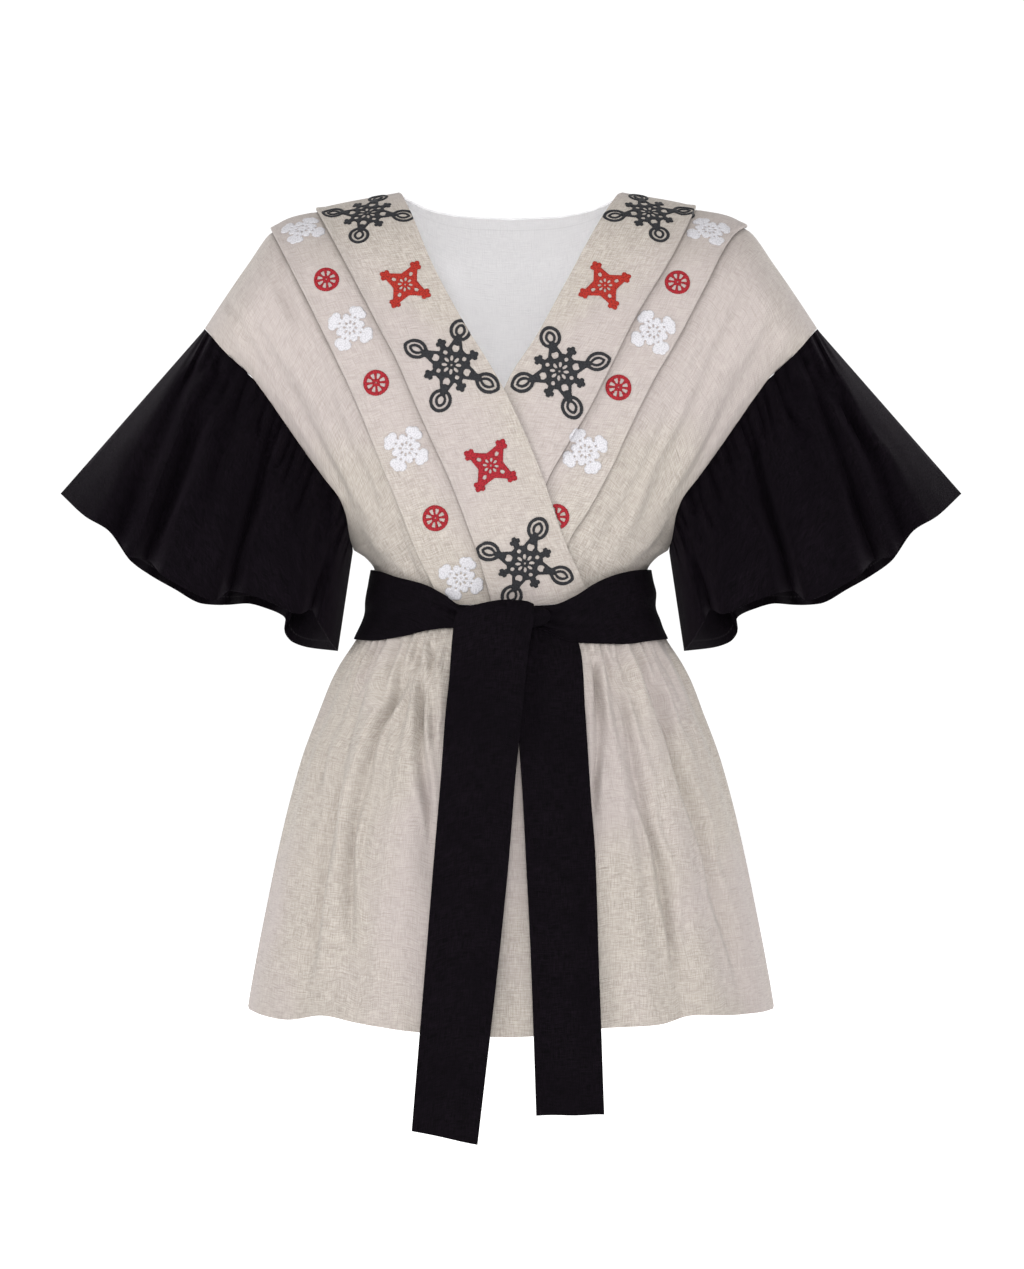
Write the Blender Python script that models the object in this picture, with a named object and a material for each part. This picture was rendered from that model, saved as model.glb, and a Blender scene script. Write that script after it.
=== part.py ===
"""Wrap blouse with bell sleeves, a gathered lower part and a tied sash.

Metres. X runs to the viewer's right, Y to the back and Z up. The origin is on the
midline, level with the points where the neck meets the shoulder seams.
Sides in names are the wearer's own, so a right-hand piece has negative X.
"""

import math

import bmesh
import bpy
import numpy as np

# Cloth
CLOTH = 0.0010
SASH_CLOTH = 0.0014
SEAM_GAP = 0.0003
LINING_GAP = 0.0006
LAYER_PITCH = 0.0014
FOLD_ROUND = 0.0007
PLEAT_LAP = 0.0080
PLEAT_CLEAR = 0.0010

# Heights
WAIST_Z = -0.4120
SKIRT_TOP_Z = -0.4130
ARMHOLE_TOP_Z = -0.1360

# Torso
SHOULDER_ROUND = 0.075
OVAL_POWER = 2.4
OVAL_SAMPLE_WIDTH = 0.20
OVAL_SAMPLE_DEPTH = 0.125
ROW_SAMPLES = 160
BACK_SPREAD = 0.75
BACK_SPREAD_END = 0.9
NECK_BLEND = 0.01
RIDGE_HALVINGS = 40
ARMHOLE_TOP_X = 0.3050
NECK_X = 0.1120

# The under front drops below the upper one over this width
UNDER_DROP = 0.0050
UNDER_DROP_WIDTH = 0.024
UNDER_DROP_MARGIN = 0.006

# height, half width, front depth, back depth
TORSO = (
    (-0.4240, 0.1365, 0.0960, 0.0875),
    (-0.3850, 0.1350, 0.1015, 0.0875),
    (-0.3755, 0.1362, 0.1050, 0.0880),
    (-0.3700, 0.1398, 0.1075, 0.0890),
    (-0.3620, 0.1480, 0.1100, 0.0900),
    (-0.3570, 0.1566, 0.1115, 0.0910),
    (-0.3480, 0.1630, 0.1135, 0.0920),
    (-0.3300, 0.1800, 0.1165, 0.0940),
    (-0.3000, 0.2050, 0.1190, 0.0960),
    (-0.2600, 0.2350, 0.1210, 0.0980),
    (-0.2200, 0.2680, 0.1200, 0.1000),
    (-0.1800, 0.3050, 0.1160, 0.1010),
    (-0.1360, 0.3600, 0.1080, 0.1000),
    (-0.1000, 0.4000, 0.0980, 0.0970),
    (-0.0500, 0.4300, 0.0800, 0.0900),
    (0.0000, 0.4500, 0.0620, 0.0800),
    (0.0200, 0.4600, 0.0550, 0.0750),
)

# distance from the midline, height of the shoulder seam
RIDGE = (
    (0.0000, 0.0120),
    (0.0500, 0.0100),
    (0.1110, 0.0000),
    (0.1830, -0.0168),
    (0.2110, -0.0240),
    (0.2370, -0.0385),
    (0.2610, -0.0712),
    (0.3050, -0.1360),
    (0.3300, -0.1740),
)

# distance from the midline, height of the back neckline
BACK_NECK = (
    (0.0000, -0.0175),
    (0.0400, -0.0165),
    (0.0786, -0.0113),
    (0.1000, -0.0045),
    (0.1120, 0.0000),
)

# height, distance from the midline
ARMHOLE = (
    (-0.4240, 0.1700),
    (-0.3570, 0.1566),
    (-0.3477, 0.1590),
    (-0.3270, 0.1612),
    (-0.3097, 0.1670),
    (-0.2870, 0.1838),
    (-0.2619, 0.2020),
    (-0.2298, 0.2243),
    (-0.2060, 0.2409),
    (-0.1845, 0.2576),
    (-0.1663, 0.2780),
    (-0.1360, 0.3050),
)

# Front lines: height, distance outward from the midline on the piece's own side
RIGHT_EDGE = (
    (-0.4200, -0.0820),
    (-0.3840, -0.0672),
    (-0.3560, -0.0540),
    (-0.3160, -0.0395),
    (-0.2940, -0.0325),
    (-0.2110, 0.0035),
    (-0.1790, 0.0212),
    (-0.1420, 0.0440),
    (-0.0800, 0.0768),
    (-0.0300, 0.0970),
    (0.0050, 0.1125),
)
RIGHT_FOLD_ONE = (
    (-0.4200, 0.0160),
    (-0.3700, 0.0291),
    (-0.3380, 0.0406),
    (-0.2950, 0.0570),
    (-0.2630, 0.0715),
    (-0.2190, 0.0915),
    (-0.1750, 0.1105),
    (-0.1490, 0.1245),
    (-0.1080, 0.1459),
    (-0.0620, 0.1705),
    (-0.0170, 0.1950),
)
RIGHT_FOLD_TWO = (
    (-0.4200, 0.0640),
    (-0.3900, 0.0755),
    (-0.3580, 0.0895),
    (-0.3110, 0.1090),
    (-0.2630, 0.1290),
    (-0.2060, 0.1533),
    (-0.1570, 0.1770),
    (-0.1200, 0.1956),
    (-0.0810, 0.2160),
    (-0.0360, 0.2390),
)
LEFT_EDGE = (
    (-0.4200, -0.0820),
    (-0.2940, -0.0430),
    (-0.1950, -0.0030),
    (-0.1540, 0.0235),
    (-0.1050, 0.0500),
    (-0.0300, 0.0900),
    (0.0050, 0.1120),
)
LEFT_FOLD_ONE = (
    (-0.4200, -0.0080),
    (-0.3500, 0.0150),
    (-0.2940, 0.0345),
    (-0.2630, 0.0510),
    (-0.2250, 0.0740),
    (-0.1790, 0.0975),
    (-0.1360, 0.1190),
    (-0.0690, 0.1590),
    (-0.0190, 0.1830),
)
LEFT_FOLD_TWO = (
    (-0.4200, 0.0350),
    (-0.3560, 0.0545),
    (-0.3100, 0.0800),
    (-0.2780, 0.0970),
    (-0.2370, 0.1160),
    (-0.1900, 0.1400),
    (-0.1580, 0.1592),
    (-0.1040, 0.1880),
    (-0.0500, 0.2180),
    (-0.0360, 0.2340),
)

# How far down each row of the bodice lies, from shoulder seam to waist seam
BODICE_ROWS = (
    0.0, 0.005, 0.020, 0.050, 0.100, 0.170, 0.260, 0.370,
    0.500, 0.625, 0.710, 0.8007, 0.845, 0.885, 0.925, 1.0,
)
BACK_COLUMNS = (0.0, 0.13, 0.26, 0.3672, 0.50, 0.63, 0.76, 0.87, 0.95, 1.0)
PANEL_STEPS = (6, 5, 8)

# Skirt: height, half width, front depth, back depth
SKIRT = (
    (-0.8400, 0.2650, 0.1650, 0.1660),
    (-0.8170, 0.2625, 0.1630, 0.1640),
    (-0.7620, 0.2530, 0.1580, 0.1600),
    (-0.7170, 0.2440, 0.1540, 0.1570),
    (-0.6670, 0.2335, 0.1490, 0.1520),
    (-0.6170, 0.2215, 0.1440, 0.1470),
    (-0.5670, 0.2070, 0.1380, 0.1400),
    (-0.5190, 0.1885, 0.1300, 0.1310),
    (-0.4880, 0.1760, 0.1235, 0.1220),
    (-0.4670, 0.1650, 0.1170, 0.1130),
    (-0.4450, 0.1522, 0.1095, 0.1015),
    (-0.4280, 0.1440, 0.1035, 0.0945),
    (-0.4100, 0.1375, 0.0980, 0.0880),
)
# share of the half width, height of the lower edge in front
SKIRT_HEM = (
    (-1.00, -0.8130),
    (-0.85, -0.8165),
    (-0.70, -0.8095),
    (-0.55, -0.8150),
    (-0.33, -0.8215),
    (0.00, -0.8255),
    (0.34, -0.8180),
    (0.54, -0.8160),
    (0.69, -0.8090),
    (0.88, -0.8125),
    (1.00, -0.8130),
)
SKIRT_ROWS = (0.0, 0.040, 0.085, 0.150, 0.250, 0.420, 0.680, 1.0)
SKIRT_GATHERS = 20
COLUMNS_PER_GATHER = 3
# waves round half the skirt, how far each one shifts the gathers
SKIRT_GATHER_DRIFT = ((3, 0.22), (7, 0.15))
# waves round half the skirt, how far they change the gathers' size
SKIRT_GATHER_UNEVEN = (4, 0.25)
SIDE_FADE = 0.12
# height, how far the gathers stand out
SKIRT_GATHER_SIZE = (
    (-0.8300, 0.0004),
    (-0.7000, 0.0010),
    (-0.6000, 0.0024),
    (-0.5200, 0.0038),
    (-0.4750, 0.0034),
    (-0.4450, 0.0009),
    (-0.4100, 0.0006),
)
# x at the top, middle and foot, height at the top and foot, depth, half width
SKIRT_FOLDS_FRONT = (
    (-0.0917, -0.1420, -0.1580, -0.452, -0.790, 0.0090, 0.016),
    (-0.1450, -0.1850, -0.2050, -0.455, -0.815, 0.0080, 0.015),
    (-0.0880, -0.0850, -0.0760, -0.455, -0.680, 0.0050, 0.011),
    (-0.0450, -0.0350, -0.0200, -0.455, -0.800, 0.0050, 0.016),
    (0.0937, 0.1323, 0.1680, -0.452, -0.815, 0.0090, 0.016),
    (0.1220, 0.1860, 0.2300, -0.455, -0.815, 0.0080, 0.015),
    (0.0831, 0.0840, 0.0790, -0.455, -0.620, 0.0050, 0.011),
    (0.0500, 0.0640, 0.0950, -0.600, -0.825, 0.0045, 0.017),
)
SKIRT_FOLDS_BACK = (
    (-0.1200, -0.1750, -0.2050, -0.452, -0.815, 0.0085, 0.016),
    (-0.0750, -0.1000, -0.1250, -0.455, -0.790, 0.0080, 0.017),
    (-0.0250, -0.0400, -0.0550, -0.455, -0.815, 0.0070, 0.015),
    (0.0200, 0.0150, 0.0200, -0.455, -0.760, 0.0065, 0.016),
    (0.0600, 0.0850, 0.1000, -0.455, -0.815, 0.0085, 0.017),
    (0.1100, 0.1500, 0.1850, -0.452, -0.800, 0.0080, 0.016),
)
FOLD_FADE = 0.060
FOLD_RISE = 0.004
FOLD_END = 0.55
# a fold's share of its half width at its top, and what it gains by its foot
FOLD_SPREAD = (0.65, 0.70)

# Sleeve hem in front: share of the way round, distance out, height, depth
HEM_FRONT = (
    (0.000, 0.4500, -0.3010, 0.000),
    (0.060, 0.4216, -0.3228, 0.052),
    (0.100, 0.3990, -0.3354, 0.078),
    (0.140, 0.3850, -0.3488, 0.064),
    (0.170, 0.3715, -0.3660, 0.088),
    (0.205, 0.3590, -0.3675, 0.052),
    (0.250, 0.3390, -0.3837, 0.098),
    (0.310, 0.3169, -0.3964, 0.108),
    (0.400, 0.2880, -0.4085, 0.098),
    (0.450, 0.2775, -0.3985, 0.060),
    (0.530, 0.2576, -0.4021, 0.098),
    (0.620, 0.2335, -0.4100, 0.108),
    (0.720, 0.2060, -0.4216, 0.098),
    (0.780, 0.1970, -0.4165, 0.058),
    (0.860, 0.1880, -0.4293, 0.084),
    (0.940, 0.1790, -0.4470, 0.056),
    (1.000, 0.1735, -0.4580, 0.000),
)
HEM_BACK = (
    (0.000, 0.4500, -0.3010, 0.000),
    (0.060, 0.4330, -0.3211, 0.052),
    (0.120, 0.4120, -0.3350, 0.078),
    (0.180, 0.3896, -0.3665, 0.088),
    (0.250, 0.3678, -0.3809, 0.064),
    (0.340, 0.3450, -0.3957, 0.104),
    (0.430, 0.3162, -0.4101, 0.104),
    (0.500, 0.2930, -0.4114, 0.066),
    (0.580, 0.2726, -0.4095, 0.100),
    (0.660, 0.2504, -0.4152, 0.106),
    (0.740, 0.2300, -0.4262, 0.072),
    (0.800, 0.2325, -0.4370, 0.092),
    (0.860, 0.2265, -0.4475, 0.092),
    (0.920, 0.2080, -0.4545, 0.070),
    (1.000, 0.1735, -0.4580, 0.000),
)
SLEEVE_ROWS = (0.0, 0.05, 0.13, 0.26, 0.45, 0.70, 1.0)
SLEEVE_GATHERS = 12
SLEEVE_GATHER_SIZE = 0.0024
# share of the way down, share of the gather's size
SLEEVE_GATHER_FADE = (
    (0.00, 0.20),
    (0.05, 0.90),
    (0.13, 1.00),
    (0.26, 0.75),
    (0.45, 0.35),
    (0.70, 0.10),
    (1.00, 0.00),
)
SLEEVE_PUFF = 0.012
SLEEVE_GAP = 0.0010
SLEEVE_UNDERARM_SHIFT = 0.0014
SLEEVE_UNDERARM_REACH = 0.10
SLEEVE_OUTWARD = (0.831, 0.0, -0.556)
# waves round half a sleeve, how far they shift the gathers
SLEEVE_GATHER_DRIFT = (2, 0.12)
SLEEVE_EDGE_FADE = 0.5

# Sash band: distance along X, height of its edge in front
BAND_TOP = (
    (-0.1600, -0.3768),
    (-0.1359, -0.3787),
    (-0.1169, -0.3845),
    (-0.0847, -0.3928),
    (-0.0662, -0.4020),
    (-0.0487, -0.4130),
    (0.0000, -0.4140),
    (0.0390, -0.4130),
    (0.0604, -0.4050),
    (0.0838, -0.3913),
    (0.1062, -0.3826),
    (0.1316, -0.3777),
    (0.1600, -0.3768),
)
BAND_FOOT = (
    (-0.1600, -0.4445),
    (-0.1251, -0.4473),
    (-0.0979, -0.4430),
    (-0.0756, -0.4371),
    (-0.0562, -0.4352),
    (0.0000, -0.4352),
    (0.0233, -0.4352),
    (0.0495, -0.4473),
    (0.0670, -0.4497),
    (0.1009, -0.4507),
    (0.1281, -0.4473),
    (0.1600, -0.4445),
)
BAND_TOP_BACK = -0.3768
BAND_FOOT_BACK = -0.4445
# height, half width, front depth, back depth
BAND = (
    (-0.4520, 0.1588, 0.1168, 0.1086),
    (-0.4460, 0.1565, 0.1145, 0.1060),
    (-0.4300, 0.1488, 0.1107, 0.0984),
    (-0.4140, 0.1440, 0.1100, 0.0937),
    (-0.4020, 0.1438, 0.1100, 0.0927),
    (-0.3900, 0.1418, 0.1100, 0.0919),
    (-0.3760, 0.1396, 0.1110, 0.0914),
)
BAND_COLUMNS = 44
BAND_ROWS = 5
BAND_CREASE = 0.0014
# creases down the band, turns that they make round it
BAND_CREASE_WAVES = (2, 3)
BAND_MIDDLE_Z = -0.41

# Knot
KNOT_X = -0.0060
KNOT_Z = -0.4235
KNOT_HALF_WIDTH = 0.0440
KNOT_HALF_HEIGHT = 0.0125
KNOT_DEPTH = 0.0085
KNOT_CLEAR = 0.0026
KNOT_BEND = 0.0070
KNOT_BACK = 0.0006
KNOT_BASE_WIDTH = 0.15
KNOT_RINGS = 9
KNOT_POINTS = 20
KNOT_TAPER = 0.4
KNOT_PINCH = 0.10
KNOT_COVER = 0.75

# Tails: height, left edge, right edge, depth beyond the skirt
FRONT_TAIL = (
    (-0.9260, -0.0955, -0.0318, 0.0120),
    (-0.7490, -0.0810, -0.0114, 0.0120),
    (-0.6550, -0.0736, -0.0019, 0.0125),
    (-0.5810, -0.0674, 0.0040, 0.0130),
    (-0.5180, -0.0630, 0.0106, 0.0135),
    (-0.4840, -0.0595, 0.0140, 0.0132),
    (-0.4510, -0.0572, 0.0175, 0.0160),
    (-0.4400, -0.0562, 0.0195, 0.0190),
    (-0.4290, -0.0550, 0.0213, 0.0228),
    (-0.4120, -0.0490, 0.0220, 0.0280),
    (-0.4080, -0.0470, 0.0205, 0.0290),
)
BACK_TAIL = (
    (-0.8990, 0.0242, 0.0890, 0.0070),
    (-0.7490, 0.0190, 0.0838, 0.0070),
    (-0.6560, 0.0145, 0.0810, 0.0070),
    (-0.5990, 0.0115, 0.0769, 0.0070),
    (-0.5410, 0.0080, 0.0732, 0.0071),
    (-0.5130, 0.0075, 0.0714, 0.0066),
    (-0.4680, 0.0085, 0.0691, 0.0046),
    (-0.4520, 0.0100, 0.0660, 0.0030),
    (-0.4440, 0.0110, 0.0610, 0.0024),
    (-0.4300, 0.0130, 0.0560, 0.0024),
)
FRONT_TAIL_FOOT = (-0.9140, -0.9260)
BACK_TAIL_FOOT = (-0.8990, -0.8990)
TAIL_ROWS = 14
TAIL_COLUMNS = 8
TAIL_FOLD = 0.0022
TAIL_FOLD_START = 0.08
TAIL_FOLD_TURN = 0.15
TAIL_ROW_POWER = 1.3
FRONT_TAIL_WAVES = 1.0
BACK_TAIL_WAVES = 1.5

# Colours, as linear light, with roughness
MATERIALS = {
    "linen_natural": ((0.610, 0.566, 0.505, 1.0), 0.86),
    "lining_white": ((0.775, 0.760, 0.765, 1.0), 0.82),
    "linen_black": ((0.011, 0.008, 0.011, 1.0), 0.80),
    "sash_black": ((0.012, 0.010, 0.012, 1.0), 0.76),
}


def along(at, rows, column=1):
    """A smooth curve through the rows of a table, which never overshoots them."""
    table = np.asarray(rows, float)
    xs = table[:, 0]
    ys = table[:, column]
    step = np.diff(xs)
    slope = np.diff(ys) / step
    tangent = np.zeros(len(xs))
    before = slope[:-1]
    after = slope[1:]
    total = np.where(before + after == 0, 1.0, before + after)
    tangent[1:-1] = np.where(before * after > 0, 2 * before * after / total, 0)
    tangent[0] = slope[0]
    tangent[-1] = slope[-1]
    at = np.clip(np.asarray(at, float), xs[0], xs[-1])
    i = np.clip(np.searchsorted(xs, at, side="right") - 1, 0, len(xs) - 2)
    f = (at - xs[i]) / step[i]
    value = ys[i] * (1 + 2 * f) * (1 - f) ** 2 + ys[i + 1] * f * f * (3 - 2 * f)
    bend = tangent[i] * f * (1 - f) ** 2 - tangent[i + 1] * f * f * (1 - f)
    return value + step[i] * bend


def ease(value):
    share = np.clip(value, 0, 1)
    return share * share * (3 - 2 * share)


def unit(vectors):
    size = np.linalg.norm(vectors, axis=-1, keepdims=True)
    return vectors / np.where(size == 0, 1, size)


def torso_square(x, z, column):
    """The square of the torso's depth, which falls below nothing outside it."""
    depth = along(z, TORSO, column)
    below = np.minimum((along(np.abs(x), RIDGE) - z) / SHOULDER_ROUND, 1)
    rounding = 1 - (1 - below) ** 2
    oval = 1 - (np.abs(x) / along(z, TORSO, 1)) ** OVAL_POWER
    return depth**2 * rounding * oval


def torso_frame(x, z, sign):
    """Points on the torso and the directions away from it; sign is -1 in front."""
    column = 2 if sign < 0 else 3
    reach = 1e-5
    y = sign * np.sqrt(np.maximum(torso_square(x, z, column), 0))
    across = torso_square(x + reach, z, column) - torso_square(x - reach, z, column)
    upward = torso_square(x, z + reach, column) - torso_square(x, z - reach, column)
    away = np.stack([-across / (2 * reach), 2 * y, -upward / (2 * reach)], axis=-1)
    return np.stack([x, y, z], axis=-1), unit(away)


def armhole_x(z):
    return np.minimum(along(z, ARMHOLE), along(z, TORSO, 1))


def keep_side(points, sign, gap=SEAM_GAP / 2):
    """Holds points on their own side of the seams, which lie at Y = 0."""
    points = points.copy()
    if sign < 0:
        points[..., 1] = np.minimum(points[..., 1], -gap)
    else:
        points[..., 1] = np.maximum(points[..., 1], gap)
    return points


def build_mesh(name, points, faces, material, collection):
    mesh = bpy.data.meshes.new(name)
    mesh.from_pydata([tuple(p) for p in points], [], faces)
    shape = bmesh.new()
    shape.from_mesh(mesh)
    bmesh.ops.recalc_face_normals(shape, faces=shape.faces[:])
    shape.to_mesh(mesh)
    shape.free()
    mesh.materials.append(material)
    piece = bpy.data.objects.new(name, mesh)
    collection.objects.link(piece)
    return piece


def wall(name, outer, inner, material, collection, closed=False):
    """Cloth between two grids of points; closed joins its last column to its first."""
    rows, columns = outer.shape[:2]
    points = np.concatenate([outer.reshape(-1, 3), inner.reshape(-1, 3)])
    inside = rows * columns
    faces = []
    steps = columns if closed else columns - 1
    for r in range(rows - 1):
        for c in range(steps):
            d = (c + 1) % columns
            low = r * columns
            high = low + columns
            for a in ((low + c, low + d, high + d), (low + c, high + d, high + c)):
                faces.append(a)
                faces.append(tuple(inside + i for i in reversed(a)))
    for c in range(steps):
        d = (c + 1) % columns
        last = (rows - 1) * columns
        faces.append((d, c, inside + c, inside + d))
        faces.append((last + c, last + d, inside + last + d, inside + last + c))
    if not closed:
        for r in range(rows - 1):
            a = r * columns
            b = (r + 1) * columns
            faces.append((a, b, inside + b, inside + a))
            e = a + columns - 1
            f = b + columns - 1
            faces.append((f, e, inside + e, inside + f))
    return build_mesh(name, points, faces, material, collection)


def surface_wall(name, surface, us, vs, thick, material, collection, closed=False, side=0):
    """A wall whose middle is surface(u, v), with its thickness along the surface's own normal."""
    u, v = np.meshgrid(np.asarray(us, float), np.asarray(vs, float))
    reach = 1e-4
    middle = surface(u, v)
    if closed:
        du = surface((u + reach) % 1, v) - surface((u - reach) % 1, v)
    else:
        du = surface(np.minimum(u + reach, max(us)), v) - surface(np.maximum(u - reach, min(us)), v)
    dv = surface(u, np.minimum(v + reach, 1)) - surface(u, np.maximum(v - reach, 0))
    away = unit(np.cross(unit(du), unit(dv)))
    outer = middle + away * thick / 2
    inner = middle - away * thick / 2
    if side:
        outer = keep_side(outer, side)
        inner = keep_side(inner, side)
    return wall(name, outer, inner, material, collection, closed)


def offset_line(profile, distance):
    """A line moved sideways by a distance, with its corners mitred."""
    run = unit(np.diff(profile, axis=0))
    side = np.stack([-run[:, 1], run[:, 0]], axis=-1)
    first = np.concatenate([side[:1], side])
    second = np.concatenate([side, side[-1:]])
    middle = unit(first + second)
    stretch = 1 / np.maximum((middle * first).sum(axis=1), 0.5)
    return profile + middle * (distance * stretch)[:, None]


def pleat_profile(marks):
    """One row of a front from its edge to the armhole: way along, height over the base."""
    top = 2 * LAYER_PITCH
    points = []
    start = marks[0]
    flat_until = marks[0]
    for fold, steps in zip(marks[1:3], PANEL_STEPS):
        full_from = fold - PLEAT_LAP - PLEAT_CLEAR
        end = fold - FOLD_ROUND
        stops = [start]
        if flat_until > start:
            stops.append(flat_until)
        stops.extend(np.linspace(flat_until, full_from, steps)[1:])
        stops.append(end)
        for s in stops:
            share = (s - flat_until) / (full_from - flat_until)
            points.append((s, top * float(ease(share))))
        inner_tip = fold - PLEAT_LAP
        points.append((fold, 1.5 * LAYER_PITCH))
        points.append((end, LAYER_PITCH))
        points.append((inner_tip + FOLD_ROUND, LAYER_PITCH))
        points.append((inner_tip, 0.5 * LAYER_PITCH))
        start = inner_tip + FOLD_ROUND
        flat_until = fold + PLEAT_CLEAR
    points.append((start, 0.0))
    for i in range(PANEL_STEPS[2] + 1):
        share = math.sin(i / PANEL_STEPS[2] * math.pi / 2)
        points.append((flat_until + (marks[3] - flat_until) * share, 0.0))
    return np.array(points)


def ridge_start(line):
    """Where a fold line meets the shoulder seam, as a distance from the midline."""
    near = NECK_X
    far = ARMHOLE_TOP_X
    for _ in range(RIDGE_HALVINGS):
        middle = (near + far) / 2
        if along(along(middle, RIDGE), line) > middle:
            near = middle
        else:
            far = middle
    return near


def front_row(lines, side, t):
    """The key places and the dense run of one row of a front."""
    starts = np.array([NECK_X, 0.0, 0.0, ARMHOLE_TOP_X])
    starts[1] = ridge_start(lines[1])
    starts[2] = ridge_start(lines[2])
    heights = (1 - t) * along(starts, RIDGE) + t * WAIST_Z
    keys = np.array([float(along(h, line)) for h, line in zip(heights[:3], lines)])
    keys[0] = NECK_X + (keys[0] - NECK_X) * float(ease(t / NECK_BLEND))
    keys = np.append(keys, float(armhole_x(heights[3])) if t > 0 else ARMHOLE_TOP_X)
    bend = np.sin(np.linspace(0, 1, ROW_SAMPLES) * math.pi / 2)
    pleated = np.linspace(keys[0], keys[2], ROW_SAMPLES)
    out = np.concatenate([pleated, keys[2] + (keys[3] - keys[2]) * bend[1:]])
    start = np.interp(out, keys, starts)
    z = (1 - t) * along(start, RIDGE) + t * WAIST_Z
    base, _ = torso_frame(side * out, z, -1)
    way = np.concatenate([[0], np.cumsum(np.linalg.norm(np.diff(base, axis=0), axis=1))])
    return keys, out, z, way


def wrap_edge_x(z):
    return -along(z, RIGHT_EDGE)


def under_drop(x, z):
    beyond = x - wrap_edge_x(z) - UNDER_DROP_MARGIN
    return -UNDER_DROP * ease(1 - beyond / UNDER_DROP_WIDTH)


def front(name, lines, side, under, material, collection):
    outer = []
    inner = []
    for t in BODICE_ROWS:
        keys, out, z, way = front_row(lines, side, t)
        marks = np.interp(keys, out, way)
        profile = pleat_profile(marks)
        for grid, distance in ((outer, CLOTH / 2), (inner, -CLOTH / 2)):
            line = offset_line(profile, distance)
            x = side * np.interp(line[:, 0], way, out)
            height = np.interp(line[:, 0], way, z) if t > 0 else along(np.abs(x), RIDGE)
            base, away = torso_frame(x, height, -1)
            raised = line[:, 1] + (under_drop(x, height) if under else 0)
            grid.append(keep_side(base + away * raised[:, None], -1))
    return wall(name, np.array(outer), np.array(inner), material, collection)


def back_grid(offset):
    us = np.array([-c for c in reversed(BACK_COLUMNS[1:])] + list(BACK_COLUMNS))
    start = np.abs(us) * ARMHOLE_TOP_X
    top = np.where(start >= NECK_X - 1e-4, along(start, RIDGE), along(start, BACK_NECK))
    rows = []
    for t in BODICE_ROWS:
        edge_z = (1 - t) * ARMHOLE_TOP_Z + t * WAIST_Z
        edge = float(armhole_x(edge_z)) if t > 0 else ARMHOLE_TOP_X
        z = (1 - t) * top + t * WAIST_Z
        share = ease(t / BACK_SPREAD_END) * BACK_SPREAD
        spread = us * (1 - share) + np.sin(us * math.pi / 2) * share
        base, away = torso_frame(edge * spread, z, 1)
        rows.append(keep_side(base + away * offset, 1))
    return np.array(rows)


def oval_angle(share):
    """Turns an even share of the way along half an oval into an angle."""
    angle = np.linspace(-math.pi / 2, math.pi / 2, 721)
    x = OVAL_SAMPLE_WIDTH * np.sign(angle) * np.abs(np.sin(angle)) ** (2 / OVAL_POWER)
    y = OVAL_SAMPLE_DEPTH * np.cos(angle)
    way = np.concatenate([[0], np.cumsum(np.hypot(np.diff(x), np.diff(y)))])
    return np.interp(share, way / way[-1], angle)


def oval(angle, z, table, sign):
    """A point of a ring and the level direction away from it."""
    wide = along(z, table, 1)
    deep = along(z, table, 2 if sign < 0 else 3)
    x = wide * np.sign(angle) * np.abs(np.sin(angle)) ** (2 / OVAL_POWER)
    y = sign * deep * np.cos(angle)
    away_x = OVAL_POWER * np.sign(x) * (np.abs(x) / wide) ** (OVAL_POWER - 1) / wide
    away_y = 2 * y / deep**2
    away = unit(np.stack([away_x, away_y, np.zeros_like(away_x)], axis=-1))
    return np.stack([x, y, z + 0 * x], axis=-1), away


def fold_depth(x, z, folds):
    """How far the large folds press the skirt in."""
    total = np.zeros_like(x)
    for top, middle, foot, high, low, depth, half in folds:
        s = np.clip((high - z) / (high - low), 0, 1)
        line = top * (1 - s) * (1 - 2 * s) + 4 * middle * s * (1 - s) + foot * s * (2 * s - 1)
        spread = half * (FOLD_SPREAD[0] + FOLD_SPREAD[1] * s)
        fade = ease((high + FOLD_RISE - z) / FOLD_FADE) * ease((z - low) / FOLD_FADE + FOLD_END)
        total = total + depth * fade * np.exp(-(((x - line) / spread) ** 2))
    return total


def skirt_surface(sign):
    folds = SKIRT_FOLDS_FRONT if sign < 0 else SKIRT_FOLDS_BACK

    def surface(u, v):
        angle = oval_angle(u)
        across = np.sign(angle) * np.abs(np.sin(angle)) ** (2 / OVAL_POWER)
        z = SKIRT_TOP_Z + v * (along(across, SKIRT_HEM) - SKIRT_TOP_Z)
        point, away = oval(angle, z, SKIRT, sign)
        turn = SKIRT_GATHERS * u
        for waves, shift in SKIRT_GATHER_DRIFT:
            turn = turn + shift * np.sin(2 * math.pi * waves * u)
        waves, share = SKIRT_GATHER_UNEVEN
        uneven = 1 + share * np.cos(2 * math.pi * waves * u)
        gather = along(z, SKIRT_GATHER_SIZE) * uneven * np.cos(2 * math.pi * turn)
        side_fade = ease((1 - np.abs(across)) / SIDE_FADE)
        push = gather - fold_depth(point[..., 0], z, folds) * side_fade
        return point + away * push[..., None]

    return surface


def armhole_loop(sign):
    """The armhole on the wearer's left, from its top to the underarm, evenly spaced."""
    rows = np.array([t for t in BODICE_ROWS if t < 0.81])
    z = (1 - rows) * ARMHOLE_TOP_Z + rows * WAIST_Z
    point, _ = torso_frame(armhole_x(z), z, sign)
    point[0, 1] = 0
    point[-1, 1] = 0
    way = np.concatenate([[0], np.cumsum(np.linalg.norm(np.diff(point, axis=0), axis=1))])
    return way / way[-1], point


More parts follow.
